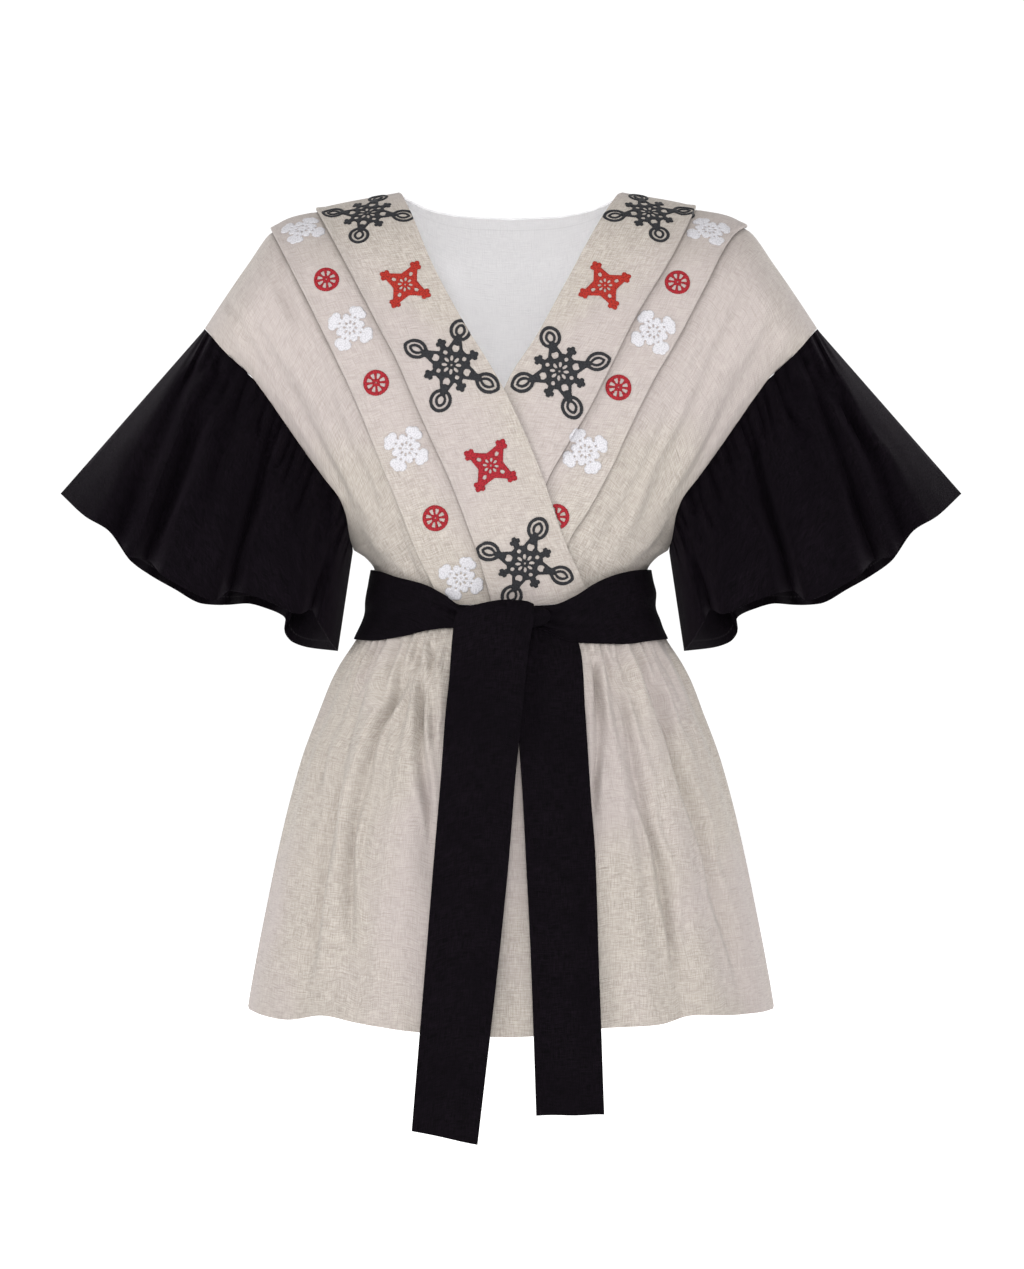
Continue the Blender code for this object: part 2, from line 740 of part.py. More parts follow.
def sleeve_surface(side):
    loops = {sign: armhole_loop(sign) for sign in (-1, 1)}
    outward = unit(np.array(SLEEVE_OUTWARD))

    def half(f, v, sign):
        way, loop = loops[sign]
        start = np.stack([np.interp(f, way, loop[:, k]) for k in range(3)], axis=-1)
        near = np.exp(-(((1 - f) / SLEEVE_UNDERARM_REACH) ** 2))
        shift = SLEEVE_GAP + SLEEVE_UNDERARM_SHIFT * near
        start = start + outward * shift[..., None]
        table = HEM_FRONT if sign < 0 else HEM_BACK
        depth = sign * along(f, table, 3)
        end = np.stack([along(f, table, 1), depth, along(f, table, 2)], axis=-1)
        blend = v[..., None]
        point = start * (1 - blend) + end * blend
        around = np.sin(math.pi * np.clip(f, 0, 1))
        puff = SLEEVE_PUFF * np.sin(math.pi * v) * np.sqrt(around)
        waves, drift = SLEEVE_GATHER_DRIFT
        turn = SLEEVE_GATHERS * f + drift * np.sin(2 * math.pi * waves * f)
        rise = SLEEVE_GATHER_SIZE * along(v, SLEEVE_GATHER_FADE) * np.cos(2 * math.pi * turn)
        point[..., 1] += sign * (puff + rise * ease(around / SLEEVE_EDGE_FADE))
        return point

    def surface(u, v):
        u = u % 1
        front_part = half(np.clip(2 * u, 0, 1), v, -1)
        back_part = half(np.clip(2 - 2 * u, 0, 1), v, 1)
        point = np.where((u <= 0.5)[..., None], front_part, back_part)
        return point * np.array([side, 1, 1])

    return surface


def band_surface(u, v):
    """The sash round the waist: u runs once round from the wearer's right side."""
    u = u % 1
    ahead = u <= 0.5
    angle = np.where(ahead, oval_angle(np.clip(2 * u, 0, 1)), oval_angle(np.clip(2 - 2 * u, 0, 1)))
    middle_front, _ = oval(angle, np.full_like(u, BAND_MIDDLE_Z), BAND, -1)
    x = middle_front[..., 0]
    top = np.where(ahead, along(x, BAND_TOP), BAND_TOP_BACK)
    foot = np.where(ahead, along(x, BAND_FOOT), BAND_FOOT_BACK)
    z = top + (foot - top) * v
    front_point, front_away = oval(angle, z, BAND, -1)
    back_point, back_away = oval(angle, z, BAND, 1)
    point = np.where(ahead[..., None], front_point, back_point)
    away = np.where(ahead[..., None], front_away, back_away)
    down, turns = BAND_CREASE_WAVES
    ripple = 0.5 + 0.5 * np.cos(2 * math.pi * (down * v + turns * u))
    crease = BAND_CREASE * np.sin(math.pi * v) ** 2 * ripple
    return point + away * crease[..., None]


def knot(material, collection):
    """The wrapped lump behind the front tail, its back following the band."""
    around = KNOT_POINTS
    rings = KNOT_RINGS
    points = []
    faces = []
    for i in range(1, rings):
        turn = -math.cos(math.pi * i / rings)
        x = KNOT_X + KNOT_HALF_WIDTH * turn
        size = (1 - abs(turn) ** 3) ** KNOT_TAPER
        angle = math.asin(x / KNOT_BASE_WIDTH)
        base, _ = oval(np.array([angle]), np.array([KNOT_Z]), BAND, -1)
        behind = -(abs(base[0, 1]) + SASH_CLOTH / 2 + KNOT_CLEAR)
        for j in range(around):
            a = 2 * math.pi * j / around
            flat = 0.5 + 0.5 * math.cos(a)
            pinch = 1 - KNOT_PINCH * math.cos(3 * a + 2 * turn)
            z = KNOT_Z + KNOT_HALF_HEIGHT * size * math.sin(a) * pinch
            points.append((x, behind - KNOT_DEPTH * size * flat - KNOT_BACK, z))
    for i in range(rings - 2):
        for j in range(around):
            k = (j + 1) % around
            a = i * around
            b = a + around
            faces.append((a + j, a + k, b + k, b + j))
    faces.append(tuple(range(around)))
    faces.append(tuple(reversed(range((rings - 2) * around, (rings - 1) * around))))
    return build_mesh("sash_knot", points, faces, material, collection)


def tail_surface(table, foot, over_knot, waves):
    """A hanging end of the sash, from its top to its foot."""
    top_z = table[-1][0]

    def surface(u, v):
        lowest = foot[0] + (foot[1] - foot[0]) * u
        z = top_z + (lowest - top_z) * v
        left = along(z, table, 1)
        right = along(z, table, 2)
        x = left + (right - left) * u
        skirt_z = np.maximum(z, SKIRT_HEM[5][1])
        wide = along(skirt_z, SKIRT, 1)
        deep = along(skirt_z, SKIRT, 2) * np.sqrt(1 - (np.abs(x) / wide) ** OVAL_POWER)
        turn = 2 * math.pi * (waves * u + TAIL_FOLD_TURN)
        fold = TAIL_FOLD * ease((top_z - z) / TAIL_FOLD_START) * np.cos(turn)
        y = -(deep + along(z, table, 3)) - fold
        if over_knot:
            bend = ease((z - (top_z - KNOT_BEND)) / KNOT_BEND)
            y = y + bend * KNOT_DEPTH * KNOT_COVER
        return np.stack([x, y, z], axis=-1)

    return surface


def make_material(name, colour, roughness):
    material = bpy.data.materials.new(name)
    material.use_nodes = True
    shader = material.node_tree.nodes["Principled BSDF"]
    shader.inputs["Base Color"].default_value = colour
    shader.inputs["Roughness"].default_value = roughness
    shader.inputs["Metallic"].default_value = 0.0
    return material


def clear_scene():
    for piece in list(bpy.data.objects):
        bpy.data.objects.remove(piece, do_unlink=True)


def main():
    clear_scene()
    collection = bpy.data.collections.new("wrap_blouse")
    bpy.context.scene.collection.children.link(collection)
    cloth = {name: make_material(name, *look) for name, look in MATERIALS.items()}

    right_lines = (RIGHT_EDGE, RIGHT_FOLD_ONE, RIGHT_FOLD_TWO)
    left_lines = (LEFT_EDGE, LEFT_FOLD_ONE, LEFT_FOLD_TWO)
    front("front_right", right_lines, -1, False, cloth["linen_natural"], collection)
    front("front_left", left_lines, 1, True, cloth["linen_natural"], collection)

    wall("back", back_grid(CLOTH / 2), back_grid(-CLOTH / 2), cloth["linen_natural"], collection)
    near = -(CLOTH / 2 + LINING_GAP)
    lining = cloth["lining_white"]
    wall("back_lining", back_grid(near), back_grid(near - CLOTH), lining, collection)

    columns = np.linspace(0, 1, SKIRT_GATHERS * COLUMNS_PER_GATHER + 1)
    for name, sign in (("skirt_front", -1), ("skirt_back", 1)):
        surface = skirt_surface(sign)
        surface_wall(name, surface, columns, SKIRT_ROWS, CLOTH, cloth["linen_natural"], collection, side=sign)

    around = 2 * SLEEVE_GATHERS * COLUMNS_PER_GATHER
    columns = np.arange(around) / around
    black = cloth["linen_black"]
    for name, side in (("sleeve_right", -1), ("sleeve_left", 1)):
        surface = sleeve_surface(side)
        surface_wall(name, surface, columns, SLEEVE_ROWS, CLOTH, black, collection, closed=True)

    columns = np.arange(BAND_COLUMNS) / BAND_COLUMNS
    rows = np.linspace(0, 1, BAND_ROWS + 1)
    sash = cloth["sash_black"]
    surface_wall("sash_band", band_surface, columns, rows, SASH_CLOTH, sash, collection, closed=True)
    knot(sash, collection)

    columns = np.linspace(0, 1, TAIL_COLUMNS + 1)
    rows = np.linspace(0, 1, TAIL_ROWS + 1) ** TAIL_ROW_POWER
    front_tail = tail_surface(FRONT_TAIL, FRONT_TAIL_FOOT, True, FRONT_TAIL_WAVES)
    surface_wall("sash_tail_right", front_tail, columns, rows, SASH_CLOTH, sash, collection)
    back_tail = tail_surface(BACK_TAIL, BACK_TAIL_FOOT, False, BACK_TAIL_WAVES)
    surface_wall("sash_tail_left", back_tail, columns, rows, SASH_CLOTH, sash, collection)


main()
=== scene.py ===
"""The wrap blouse's looks: cloth shells on the solids' form, with creases, weave and lace.

Metres. X runs to the viewer's right, Y to the back and Z up. Sides in names are the
wearer's own, so a right-hand piece has negative X.
"""
import math

import bpy
import numpy as np
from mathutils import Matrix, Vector
from mathutils.bvhtree import BVHTree


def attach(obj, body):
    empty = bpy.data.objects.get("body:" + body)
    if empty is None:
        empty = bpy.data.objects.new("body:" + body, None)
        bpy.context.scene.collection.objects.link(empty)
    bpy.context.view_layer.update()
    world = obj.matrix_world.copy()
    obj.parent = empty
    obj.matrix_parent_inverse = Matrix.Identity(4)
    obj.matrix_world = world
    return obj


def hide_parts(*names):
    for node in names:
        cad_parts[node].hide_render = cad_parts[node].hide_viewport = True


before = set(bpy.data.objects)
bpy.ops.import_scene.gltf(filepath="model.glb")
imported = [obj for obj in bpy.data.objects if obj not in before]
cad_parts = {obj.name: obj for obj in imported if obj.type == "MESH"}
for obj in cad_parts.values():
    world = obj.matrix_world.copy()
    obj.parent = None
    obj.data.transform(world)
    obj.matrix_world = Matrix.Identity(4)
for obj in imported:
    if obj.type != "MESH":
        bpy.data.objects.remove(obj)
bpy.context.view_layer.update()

# Cloth, as in the solids
CLOTH = 0.001
SASH_CLOTH = 0.0014
# gap left at the seams, narrower than the solids' so that no light shows through
SEAM_GAP = 0.00004
LINING_GAP = 0.0006
LAYER_PITCH = 0.0014
FOLD_ROUND = 0.0007
PLEAT_LAP = 0.008
PLEAT_CLEAR = 0.001
WAIST_Z = -0.412
SKIRT_TOP_Z = -0.413
ARMHOLE_TOP_Z = -0.136
ARMHOLE_TOP_X = 0.305
SHOULDER_ROUND = 0.075
OVAL_POWER = 2.4
OVAL_SAMPLES = 721
OVAL_SAMPLE_WIDTH = 0.2
OVAL_SAMPLE_DEPTH = 0.125
NECK_X = 0.112
NECK_BLEND = 0.01
UNDER_DROP = 0.005
UNDER_DROP_WIDTH = 0.024
UNDER_DROP_MARGIN = 0.006
RIDGE_HALVINGS = 40
ROW_SAMPLES = 160
ROW_POWER = 1.25
BACK_SPREAD = 0.75
BACK_SPREAD_END = 0.9

# How far the cloth stands off the solids' plain form
BODICE_STRENGTH = 2.1
SKIRT_STRENGTH = 2.7
SLEEVE_STRENGTH = 1.65
# distances from the shoulder seam, the armhole and the waist over which it does so fully
BODICE_FADES = (0.03, 0.016, 0.022)
BODICE_FOOT_Z = -0.405
BODICE_SOFT = 0.00035
# height and pitch of the fine crinkles beyond the pleats, their slant, where they begin and grow full
CRINKLE = (0.00028, 0.0105)
CRINKLE_SLANT = 0.42
CRINKLE_START = 0.1
CRINKLE_REACH = 0.08
# a crease's fade as a share of its length, and its ends' own shares of that
CREASE_FADE = 0.3
CREASE_FOOT = 0.1
CREASE_TOP = (0.6, 0.25)
# how much a crease's width changes, how fast, and how far on in the next crease
CREASE_WOBBLE = (0.22, 61, 1.7)
# low rims beside a trough: share of its depth, place in half widths, narrowness
CREASE_RIM = (0.42, 2.0, 1.1)
BAND_RIM = (0.35, 1.9, 1.2)
UNEVEN_WAVES = 7
UNEVEN_PITCH = (0.6, 1.8)
UNEVEN_SCALE = 4
# seed and pitch of each unevenness
SOFT_WAVES = (3, 0.09)
CRINKLE_DRIFT = (5, 0.1)
CRINKLE_SIZES = (8, 0.12)
GATHER_SIZES = (17, 0.25)
SKIRT_WAVES = (11, 0.16)
SLEEVE_WAVES = {-1: (22, 0.11), 1: (24, 0.11)}
BAND_WAVES = (31, 0.5)
FRONT_TAIL_WAVES = (41, 0.12)
BACK_TAIL_WAVES = (43, 0.12)
# rows of the fronts, and rows and columns of the back and its lining
FRONT_ROWS = 104
BACK_GRID = (84, 111)
LINING_GRID = (60, 91)
# columns and rows of the other pieces
SKIRT_GRIDS = {-1: (381, 110), 1: (301, 110)}
SLEEVE_GRID = (232, 64)
BAND_GRID = (240, 22)
KNOT_GRID = (48, 30)
FRONT_TAIL_GRID = (26, 96)
BACK_TAIL_GRID = (26, 90)
# how far the soft fold of a pleat stands off the layers under it, and its share at the shoulder
PLEAT_LIFT = 0.0026
PLEAT_LIFT_TOP = 0.45
PLEAT_LIFT_BLEND = 0.08
# how far from the wrap's edge the under front's pleats lift, and grow full
PLEAT_LIFT_CLEAR = 0.012
PLEAT_LIFT_REACH = 0.02
# how far the layer beside a pleat dips, and how far from the fold it does so
PLEAT_DIP = 0.0009
PLEAT_DIP_WIDTH = 0.003
PANEL_STEPS = (26, 20, 44)
TURN_STEPS = 6
SHARP_ANGLE = 50

# height, half width, front depth, back depth
TORSO = (
    (-0.424, 0.1365, 0.096, 0.0875), (-0.385, 0.135, 0.1015, 0.0875), (-0.3755, 0.1362, 0.105, 0.088),
    (-0.37, 0.1398, 0.1075, 0.089), (-0.362, 0.148, 0.11, 0.09), (-0.357, 0.1566, 0.1115, 0.091),
    (-0.348, 0.163, 0.1135, 0.092), (-0.33, 0.18, 0.1165, 0.094), (-0.3, 0.205, 0.119, 0.096),
    (-0.26, 0.235, 0.121, 0.098), (-0.22, 0.268, 0.12, 0.1), (-0.18, 0.305, 0.116, 0.101),
    (-0.136, 0.36, 0.108, 0.1), (-0.1, 0.4, 0.098, 0.097), (-0.05, 0.43, 0.08, 0.09),
    (0.0, 0.45, 0.062, 0.08), (0.02, 0.46, 0.055, 0.075),
)
# distance from the midline, height of the shoulder seam
RIDGE = (
    (0.0, 0.012), (0.05, 0.01), (0.111, 0.0), (0.183, -0.0168), (0.211, -0.024),
    (0.237, -0.0385), (0.261, -0.0712), (0.305, -0.136), (0.33, -0.174),
)
# distance from the midline, height of the back neckline
BACK_NECK = ((0.0, -0.0175), (0.04, -0.0165), (0.0786, -0.0113), (0.1, -0.0045), (0.112, 0.0))
# height, distance from the midline
ARMHOLE = (
    (-0.424, 0.17), (-0.357, 0.1566), (-0.3477, 0.159), (-0.327, 0.1612), (-0.3097, 0.167),
    (-0.287, 0.1838), (-0.2619, 0.202), (-0.2298, 0.2243), (-0.206, 0.2409), (-0.1845, 0.2576),
    (-0.1663, 0.278), (-0.136, 0.305),
)
# Front lines: height, distance outward from the midline on the piece's own side
RIGHT_EDGE = (
    (-0.42, -0.082), (-0.384, -0.0672), (-0.356, -0.054), (-0.316, -0.0395), (-0.294, -0.0325),
    (-0.211, 0.0035), (-0.179, 0.0212), (-0.142, 0.044), (-0.08, 0.0768), (-0.03, 0.097),
    (0.005, 0.1125),
)
RIGHT_FOLD_ONE = (
    (-0.42, 0.016), (-0.37, 0.0291), (-0.338, 0.0406), (-0.295, 0.057), (-0.263, 0.0715),
    (-0.219, 0.0915), (-0.175, 0.1105), (-0.149, 0.1245), (-0.108, 0.1459), (-0.062, 0.1705),
    (-0.017, 0.195),
)
RIGHT_FOLD_TWO = (
    (-0.42, 0.064), (-0.39, 0.0755), (-0.358, 0.0895), (-0.311, 0.109), (-0.263, 0.129),
    (-0.206, 0.1533), (-0.157, 0.177), (-0.12, 0.1956), (-0.081, 0.216), (-0.036, 0.239),
)
LEFT_EDGE = (
    (-0.42, -0.082), (-0.294, -0.043), (-0.195, -0.003), (-0.154, 0.0235), (-0.105, 0.05),
    (-0.03, 0.09), (0.005, 0.112),
)
LEFT_FOLD_ONE = (
    (-0.42, -0.008), (-0.35, 0.015), (-0.294, 0.0345), (-0.263, 0.051), (-0.225, 0.074),
    (-0.179, 0.0975), (-0.136, 0.119), (-0.069, 0.159), (-0.019, 0.183),
)
LEFT_FOLD_TWO = (
    (-0.42, 0.035), (-0.356, 0.0545), (-0.31, 0.08), (-0.278, 0.097), (-0.237, 0.116),
    (-0.19, 0.14), (-0.158, 0.1592), (-0.104, 0.188), (-0.05, 0.218), (-0.036, 0.234),
)
BODICE_ROWS = (
    0.0, 0.005, 0.02, 0.05, 0.1, 0.17, 0.26, 0.37,
    0.5, 0.625, 0.71, 0.8007, 0.845, 0.885, 0.925, 1.0,
)
# Skirt: height, half width, front depth, back depth
SKIRT = (
    (-0.84, 0.265, 0.165, 0.166), (-0.817, 0.2625, 0.163, 0.164), (-0.762, 0.253, 0.158, 0.16),
    (-0.717, 0.244, 0.154, 0.157), (-0.667, 0.2335, 0.149, 0.152), (-0.617, 0.2215, 0.144, 0.147),
    (-0.567, 0.207, 0.138, 0.14), (-0.519, 0.1885, 0.13, 0.131), (-0.488, 0.176, 0.1235, 0.122),
    (-0.467, 0.165, 0.117, 0.113), (-0.445, 0.1522, 0.1095, 0.1015), (-0.428, 0.144, 0.1035, 0.0945),
    (-0.41, 0.1375, 0.098, 0.088),
)
# share of the half width, height of the lower edge in front
SKIRT_HEM = (
    (-1.0, -0.813), (-0.85, -0.8165), (-0.7, -0.8095), (-0.55, -0.815), (-0.33, -0.8215),
    (0.0, -0.8255), (0.34, -0.818), (0.54, -0.816), (0.69, -0.809), (0.88, -0.8125), (1.0, -0.813),
)
SKIRT_GATHERS = 20
# waves round half the skirt, how far each one shifts the gathers
SKIRT_GATHER_DRIFT = ((3, 0.22), (7, 0.15))
# waves round half the skirt, how far they change the gathers' size
SKIRT_GATHER_UNEVEN = (4, 0.25)
# height, reach and size of the fine gathers under the sash
SKIRT_FINE = (-0.462, 0.042, 0.0021)
SKIRT_SOFT = 0.0008
SKIRT_SOFT_TOP_Z = -0.46
SIDE_FADE = 0.12
FOLD_FADE = 0.06
FOLD_RISE = 0.004
FOLD_END = 0.55
# a fold's share of its half width at its top, and what it gains by its foot
FOLD_SPREAD = (0.65, 0.7)
GRID_ROW_POWER = 1.15
# height, how far the gathers stand out
SKIRT_GATHER_SIZE = (
    (-0.83, 0.0003), (-0.7, 0.0006), (-0.6, 0.0013), (-0.52, 0.0024), (-0.475, 0.0027),
    (-0.445, 0.0009), (-0.41, 0.0006),
)
# x at the top, middle and foot, height at the top and foot, depth, half width
SKIRT_FOLDS_FRONT = (
    (-0.0917, -0.142, -0.158, -0.452, -0.79, 0.009, 0.016),
    (-0.145, -0.185, -0.205, -0.455, -0.815, 0.008, 0.015),
    (-0.088, -0.085, -0.076, -0.455, -0.68, 0.005, 0.011),
    (-0.045, -0.035, -0.02, -0.455, -0.8, 0.005, 0.016),
    (0.0937, 0.1323, 0.168, -0.452, -0.815, 0.009, 0.016),
    (0.122, 0.186, 0.23, -0.455, -0.815, 0.008, 0.015),
    (0.0831, 0.084, 0.079, -0.455, -0.62, 0.005, 0.011),
    (0.05, 0.064, 0.095, -0.6, -0.825, 0.0045, 0.017),
)
SKIRT_FOLDS_BACK = (
    (-0.12, -0.175, -0.205, -0.452, -0.815, 0.0085, 0.016),
    (-0.075, -0.1, -0.125, -0.455, -0.79, 0.008, 0.017),
    (-0.025, -0.04, -0.055, -0.455, -0.815, 0.007, 0.015),
    (0.02, 0.015, 0.02, -0.455, -0.76, 0.0065, 0.016),
    (0.06, 0.085, 0.1, -0.455, -0.815, 0.0085, 0.017),
    (0.11, 0.15, 0.185, -0.452, -0.8, 0.008, 0.016),
)
# Sleeve hem: share of the way round, distance out, height, depth
HEM_FRONT = (
    (0.0, 0.45, -0.301, 0.0), (0.06, 0.4216, -0.3228, 0.052), (0.1, 0.399, -0.3354, 0.078),
    (0.14, 0.385, -0.3488, 0.064), (0.17, 0.3715, -0.366, 0.088), (0.205, 0.359, -0.3675, 0.052),
    (0.25, 0.339, -0.3837, 0.098), (0.31, 0.3169, -0.3964, 0.108), (0.4, 0.288, -0.4085, 0.098),
    (0.45, 0.2775, -0.3985, 0.06), (0.53, 0.2576, -0.4021, 0.098), (0.62, 0.2335, -0.41, 0.108),
    (0.72, 0.206, -0.4216, 0.098), (0.78, 0.197, -0.4165, 0.058), (0.86, 0.188, -0.4293, 0.084),
    (0.94, 0.179, -0.447, 0.056), (1.0, 0.1735, -0.458, 0.0),
)
HEM_BACK = (
    (0.0, 0.45, -0.301, 0.0), (0.06, 0.433, -0.3211, 0.052), (0.12, 0.412, -0.335, 0.078),
    (0.18, 0.3896, -0.3665, 0.088), (0.25, 0.3678, -0.3809, 0.064), (0.34, 0.345, -0.3957, 0.104),
    (0.43, 0.3162, -0.4101, 0.104), (0.5, 0.293, -0.4114, 0.066), (0.58, 0.2726, -0.4095, 0.1),
    (0.66, 0.2504, -0.4152, 0.106), (0.74, 0.23, -0.4262, 0.072), (0.8, 0.2325, -0.437, 0.092),
    (0.86, 0.2265, -0.4475, 0.092), (0.92, 0.208, -0.4545, 0.07), (1.0, 0.1735, -0.458, 0.0),
)
SLEEVE_GATHERS = 12
SLEEVE_GATHER_SIZE = 0.0024
# share of the way down, share of the gather's size
SLEEVE_GATHER_FADE = (
    (0.0, 0.2), (0.05, 0.9), (0.13, 1.0), (0.26, 0.75), (0.45, 0.35), (0.7, 0.1), (1.0, 0.0),
)
SLEEVE_PUFF = 0.012
SLEEVE_GAP = 0.001
SLEEVE_UNDERARM_SHIFT = 0.0014
SLEEVE_UNDERARM_REACH = 0.1
SLEEVE_OUTWARD = (0.831, 0.0, -0.556)
# waves round half a sleeve, how far they shift the gathers
SLEEVE_GATHER_DRIFT = (2, 0.12)
SLEEVE_GATHER_GAIN = 1.25
# place down the sleeve, reach and size of the fine gathers
SLEEVE_FINE = (0.09, 0.17, 0.0034)
SLEEVE_SOFT = 0.001
SLEEVE_EDGE_FADE = 0.5
# how far the creases weaken towards the hem, and from where
SLEEVE_HEM_FADE = (0.35, 0.8)

# Sash band: distance along X, height of its edge in front
BAND_TOP = (
    (-0.16, -0.3768), (-0.1359, -0.3787), (-0.1169, -0.3845), (-0.0847, -0.3928), (-0.0662, -0.402),
    (-0.0487, -0.413), (0.0, -0.414), (0.039, -0.413), (0.0604, -0.405), (0.0838, -0.3913),
    (0.1062, -0.3826), (0.1316, -0.3777), (0.16, -0.3768),
)
BAND_FOOT = (
    (-0.16, -0.4445), (-0.1251, -0.4473), (-0.0979, -0.443), (-0.0756, -0.4371), (-0.0562, -0.4352),
    (0.0, -0.4352), (0.0233, -0.4352), (0.0495, -0.4473), (0.067, -0.4497), (0.1009, -0.4507),
    (0.1281, -0.4473), (0.16, -0.4445),
)
BAND_TOP_BACK = -0.3768
BAND_FOOT_BACK = -0.4445
# height, half width, front depth, back depth
BAND = (
    (-0.452, 0.1588, 0.1168, 0.1086), (-0.446, 0.1565, 0.1145, 0.106), (-0.43, 0.1488, 0.1107, 0.0984),
    (-0.414, 0.144, 0.11, 0.0937), (-0.402, 0.1438, 0.11, 0.0927), (-0.39, 0.1418, 0.11, 0.0919),
    (-0.376, 0.1396, 0.111, 0.0914),
)
BAND_CREASE = 0.0014
# creases down the band, turns that they make round it
BAND_CREASE_WAVES = (2, 3)
BAND_MIDDLE_Z = -0.41
BAND_RUCK = 0.0006
# distance from the knot's middle at which the folds start, and how far inward they run on
BAND_FOLD_START = 0.03
BAND_FOLD_MARGIN = 0.02
# side, place across near the knot and at the far end, depth, half width, reach from the knot
BAND_FOLDS = (
    (-1, 0.38, 0.36, 0.0042, 0.09, 0.075), (-1, 0.72, 0.62, 0.0026, 0.08, 0.055),
    (-1, 0.14, 0.12, 0.0018, 0.06, 0.045), (1, 0.56, 0.6, 0.004, 0.09, 0.08),
    (1, 0.9, 0.82, 0.003, 0.08, 0.06), (1, 0.26, 0.2, 0.0022, 0.07, 0.055),
)
KNOT_X = -0.006
KNOT_Z = -0.4235
KNOT_HALF_WIDTH = 0.044
KNOT_HALF_HEIGHT = 0.0125
KNOT_DEPTH = 0.0085
KNOT_CLEAR = 0.0026
KNOT_BEND = 0.007
KNOT_BACK = 0.0006
KNOT_BASE_WIDTH = 0.15
KNOT_TAPER = 0.4
KNOT_PINCH = 0.1
KNOT_COVER = 0.75
# Tails: height, left edge, right edge, depth beyond the skirt
FRONT_TAIL = (
    (-0.926, -0.0955, -0.0318, 0.012), (-0.749, -0.081, -0.0114, 0.012),
    (-0.655, -0.0736, -0.0019, 0.0125), (-0.581, -0.0674, 0.004, 0.013),
    (-0.518, -0.063, 0.0106, 0.0135), (-0.484, -0.0595, 0.014, 0.0132),
    (-0.451, -0.0572, 0.0175, 0.016), (-0.44, -0.0562, 0.0195, 0.019),
    (-0.429, -0.055, 0.0213, 0.0228), (-0.412, -0.049, 0.022, 0.028),
    (-0.408, -0.047, 0.0205, 0.029),
)
BACK_TAIL = (
    (-0.899, 0.0242, 0.089, 0.007), (-0.749, 0.019, 0.0838, 0.007),
    (-0.656, 0.0145, 0.081, 0.007), (-0.599, 0.0115, 0.0769, 0.007),
    (-0.541, 0.008, 0.0732, 0.0071), (-0.513, 0.0075, 0.0714, 0.0066),
    (-0.468, 0.0085, 0.0691, 0.0046), (-0.452, 0.01, 0.066, 0.003),
    (-0.444, 0.011, 0.061, 0.0024), (-0.43, 0.013, 0.056, 0.0024),
)
FRONT_TAIL_FOOT = (-0.914, -0.926)
BACK_TAIL_FOOT = (-0.899, -0.899)
TAIL_FOLD = 0.0022
TAIL_FOLD_START = 0.08
TAIL_FOLD_TURN = 0.15
TAIL_RIPPLE = 0.0007
# size and reach of the drawn lines under the knot
TAIL_PULL = (0.0013, 0.07)
# share of the way across, how far the top is lower there
TAIL_TOP_DROP = ((0.0, 0.0098), (0.3, 0.0035), (0.63, 0.0), (0.9, 0.0014), (1.0, 0.0042))

# Creases, given one by one. Each is depth, half width, then height and distance along X
# of the points down its line. A negative depth is a ridge.
BODICE_CREASES = (
    (0.0016, 0.007, (-0.075, -0.236), (-0.15, -0.205), (-0.23, -0.17), (-0.3, -0.138), (-0.372, -0.108)),
    (0.0013, 0.006, (-0.12, -0.262), (-0.19, -0.222), (-0.26, -0.185), (-0.33, -0.15), (-0.37, -0.131)),
    (0.0012, 0.005, (-0.24, -0.15), (-0.3, -0.122), (-0.35, -0.105), (-0.392, -0.09)),
    (0.0015, 0.006, (-0.29, -0.17), (-0.33, -0.158), (-0.362, -0.138), (-0.38, -0.115)),
    (0.001, 0.006, (-0.1, -0.285), (-0.16, -0.252), (-0.215, -0.222)),
    (0.001, 0.005, (-0.06, -0.222), (-0.1, -0.222), (-0.16, -0.19), (-0.21, -0.168)),
    (0.0013, 0.005, (-0.325, -0.118), (-0.36, -0.106), (-0.395, -0.083)),
    (0.0016, 0.007, (-0.08, 0.24), (-0.14, 0.212), (-0.21, 0.182), (-0.29, 0.146), (-0.37, 0.112)),
    (0.0013, 0.006, (-0.11, 0.268), (-0.18, 0.232), (-0.25, 0.196), (-0.33, 0.158), (-0.37, 0.134)),
    (0.0012, 0.005, (-0.22, 0.16), (-0.29, 0.124), (-0.35, 0.096), (-0.395, 0.08)),
    (0.0014, 0.006, (-0.3, 0.176), (-0.335, 0.16), (-0.365, 0.134), (-0.384, 0.108)),
    (0.001, 0.006, (-0.09, 0.29), (-0.15, 0.258), (-0.21, 0.228)),
    (0.001, 0.005, (-0.07, 0.226), (-0.12, 0.206), (-0.18, 0.178), (-0.225, 0.16)),
    (0.0014, 0.005, (-0.32, 0.104), (-0.355, 0.085), (-0.398, 0.066)),
)
BACK_CREASES = (
    (0.0016, 0.008, (-0.08, -0.23), (-0.16, -0.19), (-0.25, -0.15), (-0.35, -0.11), (-0.378, -0.1)),
    (0.0014, 0.007, (-0.2, -0.215), (-0.28, -0.17), (-0.35, -0.132), (-0.378, -0.112)),
    (0.0012, 0.008, (-0.22, -0.08), (-0.3, -0.062), (-0.378, -0.05)),
    (0.0012, 0.008, (-0.18, 0.012), (-0.28, 0.004), (-0.378, -0.004)),
    (0.0016, 0.008, (-0.07, 0.238), (-0.16, 0.196), (-0.24, 0.16), (-0.35, 0.116), (-0.378, 0.104)),
    (0.0014, 0.007, (-0.21, 0.208), (-0.28, 0.172), (-0.35, 0.134), (-0.378, 0.115)),
    (0.0012, 0.008, (-0.24, 0.086), (-0.31, 0.07), (-0.378, 0.056)),
    (0.001, 0.01, (-0.06, -0.07), (-0.11, -0.055), (-0.17, -0.05)),
    (0.001, 0.01, (-0.06, 0.08), (-0.12, 0.062), (-0.18, 0.058)),
)
